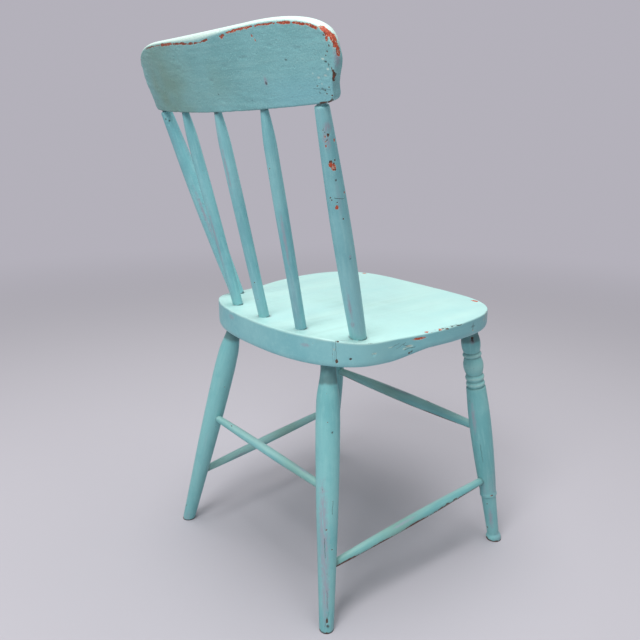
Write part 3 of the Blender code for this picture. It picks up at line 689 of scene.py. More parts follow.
legMarks = {
    "rear_leg_right": [
        ("rub", 62, 215, 5, 9), ("rub", 66, 170, 9, 70), ("rub", 74, 120, 9, 85), ("rub", 80, 60, 8, 60),
        ("brown", 92, 19, 1.6, 4.6), ("brown", 118, 126, 1.3, 1.5), ("crack", 74, 141, 0.8, 4, -24),
        ("crack", 118, 196, 0.6, -3, -14), ("crack", 90, 62, 0.55, 6, -22), ("crack", 80, 12, 0.5, 9, 8),
        ("crack", 96, 20, 0.4, 7, 9), ("brown", 66, 216, 0.9, 1.2), ("grime", 100, 10, 3, 3),
        ("nick", 110, 300, 1.5, 2),
    ],
    "rear_leg_left": [("brown", 129, 30, 1.1, 1.4), ("rub", 95, 60, 5, 40), ("brown", 60, 250, 0.8, 1.2)],
    "front_leg_right": [
        ("grime", -6, 393, 3.4, 6.0), ("rub", -8, 391, 5, 8), ("brown", -4, 396, 2.2, 2.2),
        ("red", 5, 98, 2.6, 1.1), ("nick", 8, 98, 3, 1.4), ("brown", -37, 81, 1.2, 1.4),
        ("rub", -20, 50, 5, 26), ("brown", -70, 28, 1.3, 2.2), ("rub", -50, 250, 5, 40),
        ("brown", -80, 5, 3, 3), ("crack", -30, 200, 0.5, 3, -30),
    ],
    "front_leg_left": [("brown", 160, 300, 1.4, 2.0), ("red", -150, 97, 2.2, 1.2), ("rub", -170, 60, 5, 30)],
}
seeds = {"rear_leg_right": 11, "rear_leg_left": 23, "front_leg_right": 37, "front_leg_left": 41}
for node, (foot, head) in legLines.items():
    front = node.startswith("front")
    profile = (frontLegProfile if front else rearLegProfile)((head - foot).length)
    turnPiece(node, legPaint, foot, head, profile, legs["sides"], seeds[node], legMarks[node],
              frontLegWear if front else legWear, True)


# Stretchers

stretchers = {
    "sides": 52, "stop": 3 * mm, "shoulder": 15.35 * mm,
    "runs": {
        # node: (first leg, height there, second leg, height there, end radius, middle radius, worn side)
        "back_stretcher": ("rear_leg_right", 205.9, "rear_leg_left", 213.8, 6.0, 7.5, (0, 0.25, -0.97)),
        "front_stretcher": ("front_leg_right", 220.8, "front_leg_left", 220.8, 6.75, 10.25, (0, 0.20, -0.98)),
        "side_stretcher_right": (
            "rear_leg_right", 91.5, "front_leg_right", 124.1, 6.25, 8.5, (-0.82, 0, -0.57)),
        "side_stretcher_left": ("rear_leg_left", 98.5, "front_leg_left", 124.1, 6.25, 8.5, (0.53, 0, -0.85)),
    },
}


def onLeg(node, height):
    foot, head = legLines[node]
    return foot + (head - foot) * (height * mm / underside)


def stretcherWear(wear, own, places, length, wornSide):
    # the lower outer side is worn brown, the ends are dirty where they enter the legs
    middle = places.mean(axis=0)
    ends = [places[own[:, 2] < 30 * mm].mean(axis=0), places[own[:, 2] > length - 30 * mm].mean(axis=0)]
    run = (ends[1] - ends[0]) / np.linalg.norm(ends[1] - ends[0])
    off = places - middle
    off = off - (off @ run)[:, None] * run
    off /= np.maximum(np.linalg.norm(off, axis=1), 1 * mm)[:, None]
    turnedDown = off @ np.array(wornSide)
    streaks = noiseAt(own, (6 * mm, 6 * mm, 34 * mm), wear.seed + 3)
    wear.lose((turnedDown - 0.86 + streaks * 0.22) * 9 + wear.ragged, 0.40)
    wear.spread("grime", smoothStep(0.55, 0.95, turnedDown) * smoothStep(-0.5, 0.6, streaks) * 0.5)
    near = np.minimum(own[:, 2], length - own[:, 2])
    wear.spread("grime", smoothStep(21 * mm, 15 * mm, near) * 0.45)
    # painted highlight: the upper side is paler, where the light falls on it
    wear.pale = smoothStep(0.2, -0.8, turnedDown + streaks * 0.3) * 0.6


stretcherMarks = {
    "back_stretcher": [("rub", 90, 60, 3, 30), ("brown", 60, 250, 0.9, 1.8)],
    "front_stretcher": [
        ("rub", 80, 190, 4, 50), ("brown", 100, 120, 1.4, 4), ("brown", 60, 372, 2.0, 6),
        ("red", 72, 366, 1.4, 3),
    ],
    "side_stretcher_right": [
        ("brown", 176, 265, 1.2, 6), ("brown", 176, 245, 1.0, 4), ("rub", 120, 150, 3, 30)],
    "side_stretcher_left": [("rub", -176, 88, 3, 24)],
}
for index, (node, run) in enumerate(stretchers["runs"].items()):
    first, low, second, high, tip, middle, wornSide = run
    a, b = onLeg(first, low), onLeg(second, high)
    length = (b - a).length
    stop, shoulder = stretchers["stop"], stretchers["stop"] + stretchers["shoulder"]
    profile = [("", stop, tip * mm), ("straight", shoulder, tip * mm), ("swell", length / 2, middle * mm),
               ("dive", length - shoulder, tip * mm), ("straight", length - stop, tip * mm)]
    turnPiece(node, legPaint, a, b, profile, stretchers["sides"], 51 + index * 7,
              stretcherMarks[node], lambda *given, wornSide=wornSide: stretcherWear(*given, wornSide))


# Posts and spindles

uprights = {
    "postSides": 68, "spindleSides": 50, "intoSeat": 3 * mm, "intoCrest": 3 * mm,
    "postFoot": 11.9 * mm, "spindleFoot": 8.3 * mm,
    "postX": 161 * mm, "postFromRear": 77.5 * mm, "postTop": 200.5 * mm,
    "spindleX": 86.3 * mm, "spindleTop": 104.5 * mm, "sideFromRear": 32.6 * mm, "centreFromRear": 26.1 * mm,
}


def postProfile(length):
    return [("", -uprights["intoSeat"], uprights["postFoot"]), ("straight", 0.0, uprights["postFoot"]),
            ("swell", 135 * mm, 13.45 * mm), ("dive", length - 5.2 * mm, 9.0 * mm),
            ("dive", length - 3.4 * mm, 8.3 * mm), ("wave", length - 2.2 * mm, 5.75 * mm),
            ("straight", length + uprights["intoCrest"], 5.75 * mm)]


def spindleProfile(length):
    return [("", -uprights["intoSeat"], uprights["spindleFoot"]), ("straight", 0.0, uprights["spindleFoot"]),
            ("wave", 190 * mm, 9.0 * mm), ("dive", length - 55 * mm, 8.65 * mm), ("dive", length, 5.0 * mm),
            ("straight", length + uprights["intoCrest"], 5.0 * mm)]


def uprightWear(wear, own, places, length):
    # a dirty ring at the seat, painted shade at the top where it goes into the crest, small bare specks
    height = own[:, 2]
    ragged = noiseAt(own, 4 * mm, wear.seed + 3)
    wear.spread("grime", smoothStep(2.4 * mm, 0.0, height + ragged * 1.2 * mm) * 0.75)
    # painted shade at the top, in the gap under the crest
    wear.spread("grime", smoothStep(length - 4 * mm, length, height + ragged * 2 * mm) * 0.8)
    wear.scatter(2.2, 3.6, 45, 0.93, 0.3)
    wear.spread("rub", smoothStep(0.35, 0.9, noiseAt(own, (8 * mm, 8 * mm, 70 * mm), wear.seed + 4)) * 0.28)


uprightMarks = {
    "back_post_right": [
        ("brown", -47, 294, 1.7, 2.3), ("red", -6, 286, 1.7, 2.2), ("red", -69, 293, 0.7, 1.3),
        ("red", -70, 287, 0.7, 1.2), ("red", -72, 281.5, 1.1, 1.9), ("rub", -45, 303, 7, 8),
        ("red", -44, 255, 3.0, 4.4), ("red", -62, 259, 2.4, 3.6), ("brown", -60, 262.5, 2.2, 1.8),
        ("brown", -40, 259.5, 1.2, 1.4), ("brown", -36, 252, 1.1, 1.2), ("pale", -52, 256.5, 1.0, 1.5),
        ("brown", -30, 263, 1.0, 1.6), ("red", 3, 220, 1.3, 1.9), ("brown", -94, 217, 1.5, 1.2),
        ("brown", -86, 214.5, 1.0, 1.0), ("brown", -100, 213, 0.8, 0.8), ("crack", -59, 216, 0.8, 34, -2),
        ("red", -63, 205, 2.5, 3.0), ("brown", -56, 211, 0.7, 0.9), ("brown", -37, 188, 0.9, 1.1),
        ("brown", -62, 204.5, 1.1, 1.4), ("rub", -31, 135, 2.0, 2.2), ("rub", -64, 290, 6, 16),
        ("brown", -60, 289, 0.7, 1.3), ("brown", -77, 301, 0.7, 0.9), ("brown", -66, 297.5, 0.7, 0.9),
        ("nick", -33, 131, 1.3, 1.0), ("rub", -83, 30, 4, 6), ("rub", -82, 60, 3, 30),
        ("brown", -68, 303, 0.5, 1.0), ("nick", -44, 239, 1.4, 1.4), ("grime", -55, 1, 5, 2.5),
    ],
    "back_post_left": [
        ("dent", -17, 318, 4, 3), ("dent", -33, 307, 3.5, 3), ("nick", -10, 311, 2.2, 1.4),
        ("nick", -40, 315, 2.0, 1.2), ("rub", -20, 150, 4, 60),
    ],
    "spindle_right": [("rub", -60, 140, 3, 50)],
    "spindle_centre": [("rub", -70, 230, 3, 40), ("brown", -50, 60, 0.8, 1.0)],
    "spindle_left": [("rub", -60, 120, 3, 60)],
}


def seatSpot(x, fromRear):
    y = seatShape["rear"] - fromRear
    return Vector((x, y, float(seatTop(np.array([x]), np.array([y]))[0]))) + origin


uprightSides = {
    "back_post_right": -1, "back_post_left": 1, "spindle_right": -1, "spindle_centre": 0, "spindle_left": 1}
for index, (node, side) in enumerate(uprightSides.items()):
    kind, makeProfile = ("post", postProfile) if "post" in node else ("spindle", spindleProfile)
    fromRear = uprights["postFromRear" if kind == "post" else "sideFromRear" if side else "centreFromRear"]
    base = seatSpot(side * uprights[kind + "X"], fromRear)
    tip = Vector(crestPoint(side * uprights[kind + "Top"], 0.0, 0.0)) + origin
    turnPiece(node, backPaint, base, tip, makeProfile((tip - base).length),
              uprights[kind + "Sides"], 83 + index * 5, uprightMarks[node], uprightWear)


# Closed sheets of quads: rings of points joined by rows, with a patch of quads over each end

def resample(points, count):
    # Even steps along an open line of points.
    gaps = np.linalg.norm(np.diff(points, axis=0), axis=1)
    walked = np.concatenate([[0], np.cumsum(gaps)])
    wanted = np.linspace(0, walked[-1], count + 1)
    return np.stack([np.interp(wanted, walked, points[:, axis]) for axis in range(points.shape[1])], axis=1)


def fillPatch(ring, across, along):
    # Points inside a closed ring that has across, along, across, along steps on its four sides.
    first = ring[:across + 1]
    right = ring[across:across + along + 1]
    last = ring[across + along:2 * across + along + 1][::-1]
    left = np.concatenate([ring[2 * across + along:], ring[:1]])[::-1]
    u = np.linspace(0, 1, across + 1)[None, :, None]
    v = np.linspace(0, 1, along + 1)[:, None, None]
    return ((1 - v) * first[None] + v * last[None] + (1 - u) * left[:, None] + u * right[:, None]
            - (1 - u) * (1 - v) * first[0] - u * (1 - v) * first[-1]
            - (1 - u) * v * last[0] - u * v * last[-1])


def patchIndex(ringIndex, start, across, along):
    # The same patch as vertex numbers: the ring's own numbers round its border, new ones inside.
    grid = np.zeros((along + 1, across + 1), dtype=int)
    grid[0] = ringIndex[:across + 1]
    grid[:, -1] = ringIndex[across:across + along + 1]
    grid[-1] = ringIndex[across + along:2 * across + along + 1][::-1]
    grid[:, 0] = np.concatenate([ringIndex[2 * across + along:], ringIndex[:1]])[::-1]
    grid[1:-1, 1:-1] = start + np.arange((along - 1) * (across - 1)).reshape(along - 1, across - 1)
    return grid


def gridFaces(grid):
    return np.stack([grid[:-1, :-1], grid[:-1, 1:], grid[1:, 1:], grid[1:, :-1]], axis=-1).reshape(-1, 4)


def rowFaces(rings, count):
    index = np.arange(rings * count).reshape(rings, count)
    turned = np.roll(index, -1, axis=1)
    return np.stack([index[:-1], turned[:-1], turned[1:], index[1:]], axis=-1).reshape(-1, 4)


def closedMesh(name, points, faces):
    mesh = bpy.data.meshes.new(name)
    mesh.from_pydata(points.tolist(), [], faces)
    shape = bmesh.new()
    shape.from_mesh(mesh)
    bmesh.ops.recalc_face_normals(shape, faces=shape.faces)
    shape.to_mesh(mesh)
    shape.free()
    return mesh


# Seat

def seatOutline():
    angle = np.linspace(0, 2 * np.pi, seatShape["samples"])
    across, along = np.cos(angle), np.sin(angle)
    square = np.where(along > 0, seatShape["rearSquare"], seatShape["frontSquare"])
    depth = np.where(along > 0, seatShape["rear"], seatShape["front"])
    x = np.sign(across) * np.abs(across) ** (2 / square) * seatShape["width"] / 2
    y = np.sign(along) * np.abs(along) ** (2 / square) * depth
    fromWaist = seatShape["rear"] - seatShape["waistFromRear"] - y
    waist = seatShape["waist"] * bell(fromWaist, seatShape["waistSpread"])
    x *= 1 - waist / (seatShape["width"] / 2)
    line = np.stack([x, y], axis=1)
    # start the ring at the rear left corner, so that the patches have their corners at the seat's
    corner = int(np.argmax(line @ np.array([1.0, 1.15])))
    line = np.concatenate([line[corner:-1], line[:corner + 1]])
    return resample(line, seatShape["around"])[:-1]


def insetRing(outline, inset):
    reach = np.linalg.norm(outline, axis=1, keepdims=True)
    return outline * (1 - inset / reach)


seatMarks = [
    ("brown", (-159, 131.5, 432), (2.4, 1.5, 1.6)), ("brown", (-158.5, 133, 403), (2.4, 1.5, 2.9)),
    ("brown", (-172, 119, 407), (1.8, 1.8, 1.7)), ("nick", (-172, 119, 407), (2.2, 2.2, 2.0)),
    ("crack", (-163, 110, 433), (-158.5, 132, 433), 0.6),
    ("crack", (-157, 134, 430), (-158, 133, 405), 0.55),
    ("crack", (-153, 137, 428), (-154, 136, 404), 0.2), ("brown", (-154, 136, 413), (1.0, 1.0, 1.2)),
    ("pale", (-155, 135.5, 420), (0.8, 0.8, 2.0)), ("red", (-199.5, 10, 423), (4, 12.5, 1.9)),
    ("red", (-199, -4, 429.5), (3, 3.4, 1.2)), ("red", (-204, -28, 430.5), (3, 2.6, 1.6)),
    ("brown", (-206, -40, 430), (3, 4.5, 1.0)), ("brown", (-205, -34, 431), (3, 1.6, 0.9)),
    ("rub", (-202, -14, 431.5), (4, 12, 1.8)), ("red", (-138, -190.5, 434.5), (7.5, 3.6, 2.6)),
    ("pale", (-133, -191.5, 434.5), (3.2, 1.6, 1.2)),
    ("crack", (-205, -100.5, 422), (-205, -106, 422), 0.8),
    ("crack", (-205, -103, 425), (-205, -103, 418), 0.8), ("pale", (-205, -104, 415), (2, 1.6, 1.3)),
    ("pale", (-192, -150, 428), (3.5, 1.3, 8)), ("pale", (-196, -140, 425), (2.5, 1.1, 5)),
    ("rub", (-190, -152, 424), (5, 4, 12)), ("brown", (-196, 27, 403), (2.5, 2.0, 1.6)),
    # the bright marks here are painted glints beside the dents
    ("dent", (-196, 28, 411.5), (3, 7.5, 2.6)), ("bright", (-196, 27, 413.5), (4, 7.5, 2.2)),
    ("bright", (-195, 36, 411), (4, 4, 1.4)), ("pale", (-196, 28, 414.2), (3, 4.5, 0.8)),
    ("bright", (-192, 60, 417), (3, 5, 1.2)), ("bright", (-186, 88, 412.5), (3, 4, 1.4)),
    ("crack", (-195, 33, 409.5), (-197, 20, 411), 0.8), ("nick", (-197, 24, 405), (3, 3, 1.8)),
    ("nick", (-202, -20, 431.5), (3, 2.2, 1.3)), ("nick", (-204, -33, 431.8), (3, 2.4, 1.2)),
    ("nick", (-206, -52, 431.5), (3, 3.2, 1.2)), ("nick", (-207, -64, 431), (3, 2.4, 1.1)),
    ("crack", (-204, -40, 431), (-207, -70, 430.5), 0.8),
    ("crack", (-190, 56, 417), (-192, 46, 420), 0.45), ("crack", (-192, 47, 414), (-195, 36, 419), 0.45),
    ("crack", (-194, 38, 417), (-195, 33, 415), 0.6), ("dent", (-186, 88, 411), (3, 4, 3)),
    ("pale", (-187, 86, 412), (2, 1.8, 0.7)), ("rub", (-118, 157, 421), (10, 5, 4)),
    ("brown", (-129, 152, 425), (1.1, 1.1, 0.8)), ("rub", (60, 172, 425), (14, 5, 5)),
    ("red", (140, -190, 434), (6, 4, 1.8)), ("brown", (196, 40, 431), (4, 8, 1.3)),
    ("red", (206, -60, 430), (4, 5, 1.5)), ("red", (-40, -209, 433), (9, 4, 1.6)),
    ("pale", (30, -210, 432), (5, 3, 1.2)), ("red", (90, -208, 433), (4, 4, 1.5)),
]


# where the seat's upper arris is worn through: (side, from, to, half width, tone), in millimetres, from
# the front to the rear. Side is -1 at the right and 1 at the left.
seatBand = [
    (-1, -40, -22, 0.4, 0.35), (-1, -16, -8, 0.3, 0.1), (-1, -176, -150, 0.1, 0.3), (1, -60, 30, 0.2, 0.2),
    (1, -190, -120, 0.5, 0.1), (-1, 88, 100, -0.1, 0.4), (1, 70, 120, -0.2, 0.3),
]


def insideBy(own, outline):
    # Rough distance in from the edge, from the outline's reach in the point's direction.
    angle = np.arctan2(outline[:, 1], outline[:, 0])
    order = np.argsort(angle)
    reach = np.interp(np.arctan2(own[:, 1], own[:, 0]), angle[order], np.linalg.norm(outline, axis=1)[order],
                      period=2 * np.pi)
    return reach - np.linalg.norm(own[:, :2], axis=1)


def makeSeat():
    outline = seatOutline()
    count = len(outline)
    across = count // 4
    s = seatShape
    rings = []

    def addRing(inset, height):
        flat = insetRing(outline, inset)
        rings.append(np.concatenate([flat, height(flat[:, 0], flat[:, 1])[:, None]], axis=1))

    rim = np.linspace(0, 1, s["rimRows"]) ** s["rimCrowding"]
    for share in rim[::-1]:
        inset = s["lowEdge"] + share * (s["undercutReach"] - s["lowEdge"])
        addRing(inset, lambda x, y, inset=inset: seatBottom(y, inset))
    for angle in (0.25, 0.5, 0.75, 1.0, 1.25):
        inset = s["lowEdge"] * (1 - math.sin(angle))
        rise = s["lowEdgeHeight"] * (1 - math.cos(angle))
        addRing(inset, lambda x, y, rise=rise: seatBottom(y, 0.0) + rise)
    for row in range(s["sideRows"] + 1):
        share = row / s["sideRows"]
        addRing(0.0, lambda x, y, share=share: (seatBottom(y, 0.0) + s["lowEdgeHeight"]) * (1 - share)
                + (seatTop(x, y) - s["edge"]) * share)
    for angle in (0.35, 0.7, 1.05, 1.4):
        inset = s["edge"] * (1 - math.cos(angle))
        fall = s["edge"] * (1 - math.sin(angle))
        addRing(inset, lambda x, y, fall=fall: seatTop(x, y) - fall)
    for share in rim:
        inset = s["edge"] + share * (s["rimWidth"] - s["edge"])
        addRing(inset, seatTop)

    points = np.concatenate(rings)
    faces = rowFaces(len(rings), count).tolist()
    # the top is closed by a fine patch, the bottom by one of half as many points
    half = insetRing(outline[::2], s["undercutReach"] + s["undersideGap"])
    half = np.concatenate([half, seatBottom(half[:, 1], s["undercutReach"])[:, None]], axis=1)
    start = len(points)
    points = np.concatenate([points, half])
    for index in range(count // 2):
        after = (index + 1) % (count // 2)
        faces.append([2 * index, 2 * index + 1, (2 * index + 2) % count, start + after, start + index])
    for ring, number, side, height in (
            (half, start, across // 2, lambda x, y: seatBottom(y, s["undercutReach"])),
            (rings[-1], (len(rings) - 1) * count, across, seatTop)):
        patch = fillPatch(ring, side, side)
        inner = patch[1:-1, 1:-1].reshape(-1, 3).copy()
        inner[:, 2] = height(inner[:, 0], inner[:, 1])
        faces += gridFaces(patchIndex(np.arange(4 * side) + number, len(points), side, side)).tolist()
        points = np.concatenate([points, inner])

    own = points
    mesh = closedMesh("SeatPlank", own + np.array(origin), faces)
    wear = Wear(own, vertexValues(mesh, "normal"), 5)
    wear.marks(seatMarks)
    # the plank was never quite flat: long shallow hollows from planing and sitting
    top = smoothStep(s["top"] - 12 * mm, s["top"] - 4 * mm, own[:, 2])
    hollow = noiseAt(own, (26 * mm, 150 * mm, 60 * mm), 71) * 0.22 + noiseAt(own, 55 * mm, 72) * 0.18
    wear.sink += top * hollow * mm
    wear.sink += (1 - top) * noiseAt(own, (40 * mm, 40 * mm, 11 * mm), 73) * 0.12 * mm
    # dirt rings round the sockets
    patchy = smoothStep(-0.5, 0.6, noiseAt(own, 7 * mm, 75))
    for x, fromRear, radius in ((uprights["postX"], uprights["postFromRear"], uprights["postFoot"]),
                                (uprights["spindleX"], uprights["sideFromRear"], uprights["spindleFoot"]),
                                (0.0, uprights["centreFromRear"], uprights["spindleFoot"])):
        for side in ((-1, 1) if x else (1,)):
            away = np.hypot(own[:, 0] - side * x, own[:, 1] - (s["rear"] - fromRear))
            ring = bell(away - radius - 0.6 * mm, 1.5 * mm) * top
            wear.spread("grime", ring * patchy * 0.7)
            wear.spread("rub", bell(away - radius, 5 * mm) * top * 0.35 * patchy)
    # the upper arris is worn through in places
    inset = insideBy(own, outline)
    fall = seatTop(own[:, 0], own[:, 1]) - own[:, 2]
    wear.bandAway = np.where(fall < 30 * mm, (inset - fall) / mm, nowhere)
    run = noiseAt(own, 6 * mm, 77) * 0.9
    for side, front, rear, wide, tone in seatBand:
        at = own[:, 1] / mm
        inside = smoothStep(front - 4, front + 2, at) * smoothStep(rear + 4, rear - 2, at)
        inside *= (own[:, 0] * side > 0) & (fall < 12 * mm)
        wear.wearBand(run, inside, wide, tone)
    # the underside has only a thin, dirty coat
    below = (fall > 22 * mm) * smoothStep(1 * mm, 14 * mm, inset)
    wear.spread("grime", below * (0.30 + 0.25 * noiseAt(own, 30 * mm, 79)))
    tint = noiseAt(own, 90 * mm, 80) * 0.22 + 0.14 * smoothStep(40 * mm, 170 * mm, own[:, 1]) * top
    tint += (noiseAt(own, (4.5 * mm, 80 * mm, 60 * mm), 103) * 0.11 + noiseAt(own, 16 * mm, 104) * 0.06) * top
    # painted light: the top is paler than the sides, as where the lamp falls on it, and the sides keep the
    # deeper coat
    paintedLight = smoothStep(3.8 * mm, 0.6 * mm, fall + noiseAt(own, 12 * mm, 81) * 0.7 * mm)
    paintedLight *= 0.87 + 0.13 * noiseAt(own, (26 * mm, 110 * mm, 60 * mm), 82)
    dress("SeatPlank", "seat", seatPaint, mesh, own, wear, tint, paintedLight)
    print("seat shaped:", len(mesh.polygons), "faces")


makeSeat()


# Crest rail

def crestOutline():
    # The left half of the board's outline as (along, up), from the lower corner over the shoulder
    # to the top, and the right half, from the top to the lower corner.
    c = crestShape
    half, bottomHalf = c["length"] / 2, c["bottomLength"] / 2
    widestUp = c["height"] - c["widestDrop"]
    angle = np.linspace(0, np.pi / 2, c["cornerSamples"])
    corner = np.stack([bottomHalf - c["corner"] + c["corner"] * np.sin(angle),
                       c["corner"] * (1 - np.cos(angle))], axis=1)
    share = np.linspace(0, 1, c["endSamples"])
    end = np.stack([bottomHalf + (half - bottomHalf) * (1 - np.cos(np.pi * share)) / 2,
                    c["corner"] + (widestUp - c["corner"]) * share], axis=1)
    turn = np.linspace(0, np.pi / 2, c["shoulderSamples"])
    shoulder = np.stack([half - c["shoulder"] + c["shoulder"] * np.cos(turn) ** (2 / c["flatness"]),
                         widestUp + c["widestDrop"] * np.sin(turn) ** (2 / c["fullness"])], axis=1)
    side = np.concatenate([corner, end[1:], shoulder[1:]])
    return side, side[::-1] * np.array([-1, 1])


def crestRing():
    # One closed ring: along the bottom, up the left end, back along the top and down the right end.
    c = crestShape
    left, right = crestOutline()
    split = int(np.argmax(left[:, 1] > c["height"] - c["ringTopDrop"]))
    cornerAt = int(np.argmax(left[:, 1] > c["ringBottomRise"]))
    bottom = resample(np.concatenate([right[-cornerAt - 1:], left[:cornerAt + 1]]), c["columns"])
    leftEnd = resample(left[cornerAt:split + 1], c["rows"])
    top = resample(np.concatenate([left[split:], right[:len(right) - split]]), c["columns"])
    rightEnd = resample(right[len(right) - 1 - split:len(right) - cornerAt], c["rows"])
    return np.concatenate([bottom[:-1], leftEnd[:-1], top[:-1], rightEnd[:-1]])


# where the worn back arris shows: (part, from, to, half width, unevenness, tone, outward shift), in
# millimetres along the top or bottom, or up the right or left end
crestBand = [
    ("top", 205, 235, 0.4, 0.4, 0.1, 0), ("top", 124, 172, 0.8, 0.5, 0.28, 0),
    ("top", 98, 124, 0.5, 0.4, 0.2, 0), ("top", 56, 98, 1.8, 0.8, 0.22, 0),
    ("top", -3, 56, 1.15, 0.8, 0.26, 0), ("top", -40, -3, 0.75, 0.8, 0.25, 0),
    ("top", -77, -64, 1.1, 0.8, 0.2, -1.5), ("top", -131, -79, 1.35, 0.4, 0.08, 0),
    ("top", -168, -132, 1.35, 0.6, 0.12, 0), ("top", -190, -168, 1.55, 0.4, 0.0, 0.2),
    ("top", -224, -190, 1.5, 0.5, 0.05, 0.2), ("top", -231, -224, 1.7, 0.8, 0.0, 0.5),
    ("right", 66, 77, 3.2, 1.2, 0.0, 3.4), ("right", 55, 68, 3.3, 1.2, 0.0, 6.2),
    ("right", 46, 56, 2.6, 1.2, 0.05, 7.8), ("left", 60, 84, 0.2, 0.6, 0.2, 0),
    ("bottom", -225, -203, 1.0, 0.6, 0.5, 0.3),
]
crestMarks = [
    ("red", (-125, 84, 8), (1.6, 2.2, 3)), ("red", (-129, 79, 8), (1.2, 2.0, 3)),
    ("red", (-70, 89, 8), (2.4, 1.6, 3)), ("grime", (-129, 30, 8), (1.7, 2.4, 3)),
    ("rub", (-129, 33, 8), (3.4, 8, 3)), ("brown", (-234, 59, 7.5), (1.0, 1.2, 3)),
    ("brown", (-229.5, 70.5, 8), (1.0, 1.1, 3)), ("red", (-232.5, 66, 8), (1.6, 2.6, 3)),
    ("brown", (-232, 30, 7.4), (1.6, 4.5, 3.4)), ("brown", (-230.5, 23, 7.6), (1.8, 5.5, 3.4)),
    ("brown", (-229.5, 16.5, 7.7), (1.5, 3.6, 3.4)), ("red", (-230.8, 25, 7.7), (1.2, 4.0, 2.6)),
    ("brown", (-220, 1.0, 7), (7, 1.3, 4)), ("brown", (-229, 2.6, 6), (6, 1.7, 5)),
    ("brown", (-237, 6.0, 4), (4.5, 1.9, 5)), ("rub", (-238, 44, 5), (5, 11, 5)),
    ("brown", (-231, 36, 7.8), (0.8, 1.4, 3)), ("brown", (-227, 50, 8), (0.9, 1.1, 3)),
    ("brown", (-230, 54, 8), (1.1, 1.5, 3)), ("nick", (-225, 44, 8), (1.7, 1.3, 2)),
    # the bright marks are painted glints on dents and nicks
    ("nick", (-228, 40, 8), (1.4, 1.6, 2)), ("bright", (-222, 47, 8), (1.7, 0.6, 3)),
    ("bright", (-226, 36, 8), (1.4, 0.6, 3)), ("bright", (-214, 21, 8), (1.5, 0.6, 3)),
    ("nick", (-208, 12, 8), (1.5, 0.9, 2)), ("brown", (-224, 8, 8), (1.4, 0.8, 2)),
    ("crack", (-203, 17, 8), (-221, 14, 8), 0.35), ("nick", (-216, 14, 8), (1.6, 1.3, 2)),
    ("nick", (-213, 16.5, 8), (1.3, 1.1, 2)), ("brown", (-216, 14, 8), (1.0, 0.8, 2)),
    ("dent", (-221, 28.5, 8), (5.5, 2.2, 3)), ("bright", (-221, 30, 8), (2.4, 0.9, 3)),
    ("dent", (-211, 27, 8), (3, 3, 3)), ("bright", (-211, 28, 8), (1.5, 1.1, 3)),
    ("bright", (-204, 33, 8), (2.1, 0.8, 3)), ("brown", (-217, 10, 8), (1.4, 0.9, 2)),
    ("brown", (-222, 17, 8), (1.8, 0.8, 2)), ("brown", (-207, 19.5, 8), (1.6, 0.7, 2)),
    ("dent", (-60, 55, 8), (9, 2.4, 3)), ("dent", (-100, 62, 8), (12, 2.2, 3)),
    ("dent", (60, 60, 8), (10, 2, 3)), ("dent", (-150, 70, 8), (6, 2, 3)),
    ("dent", (-190, 62, 8), (9, 1.8, 3)), ("dent", (-20, 40, 8), (7, 3, 3)),
    ("nick", (-170, 52, 8), (1.4, 1.4, 2)), ("nick", (-28, 23, 8), (1.2, 1.0, 2)),
    ("red", (60, 94, -8), (16, 3, 3)), ("red", (-80, 95, -8), (26, 2.6, 3)),
    ("red", (190, 88, -7), (14, 3, 3)), ("brown", (-120, 60, -8), (3, 2, 3)),
    ("rub", (0, 70, -8), (90, 18, 4)), ("red", (226, 70, -6), (4, 9, 4)),
]


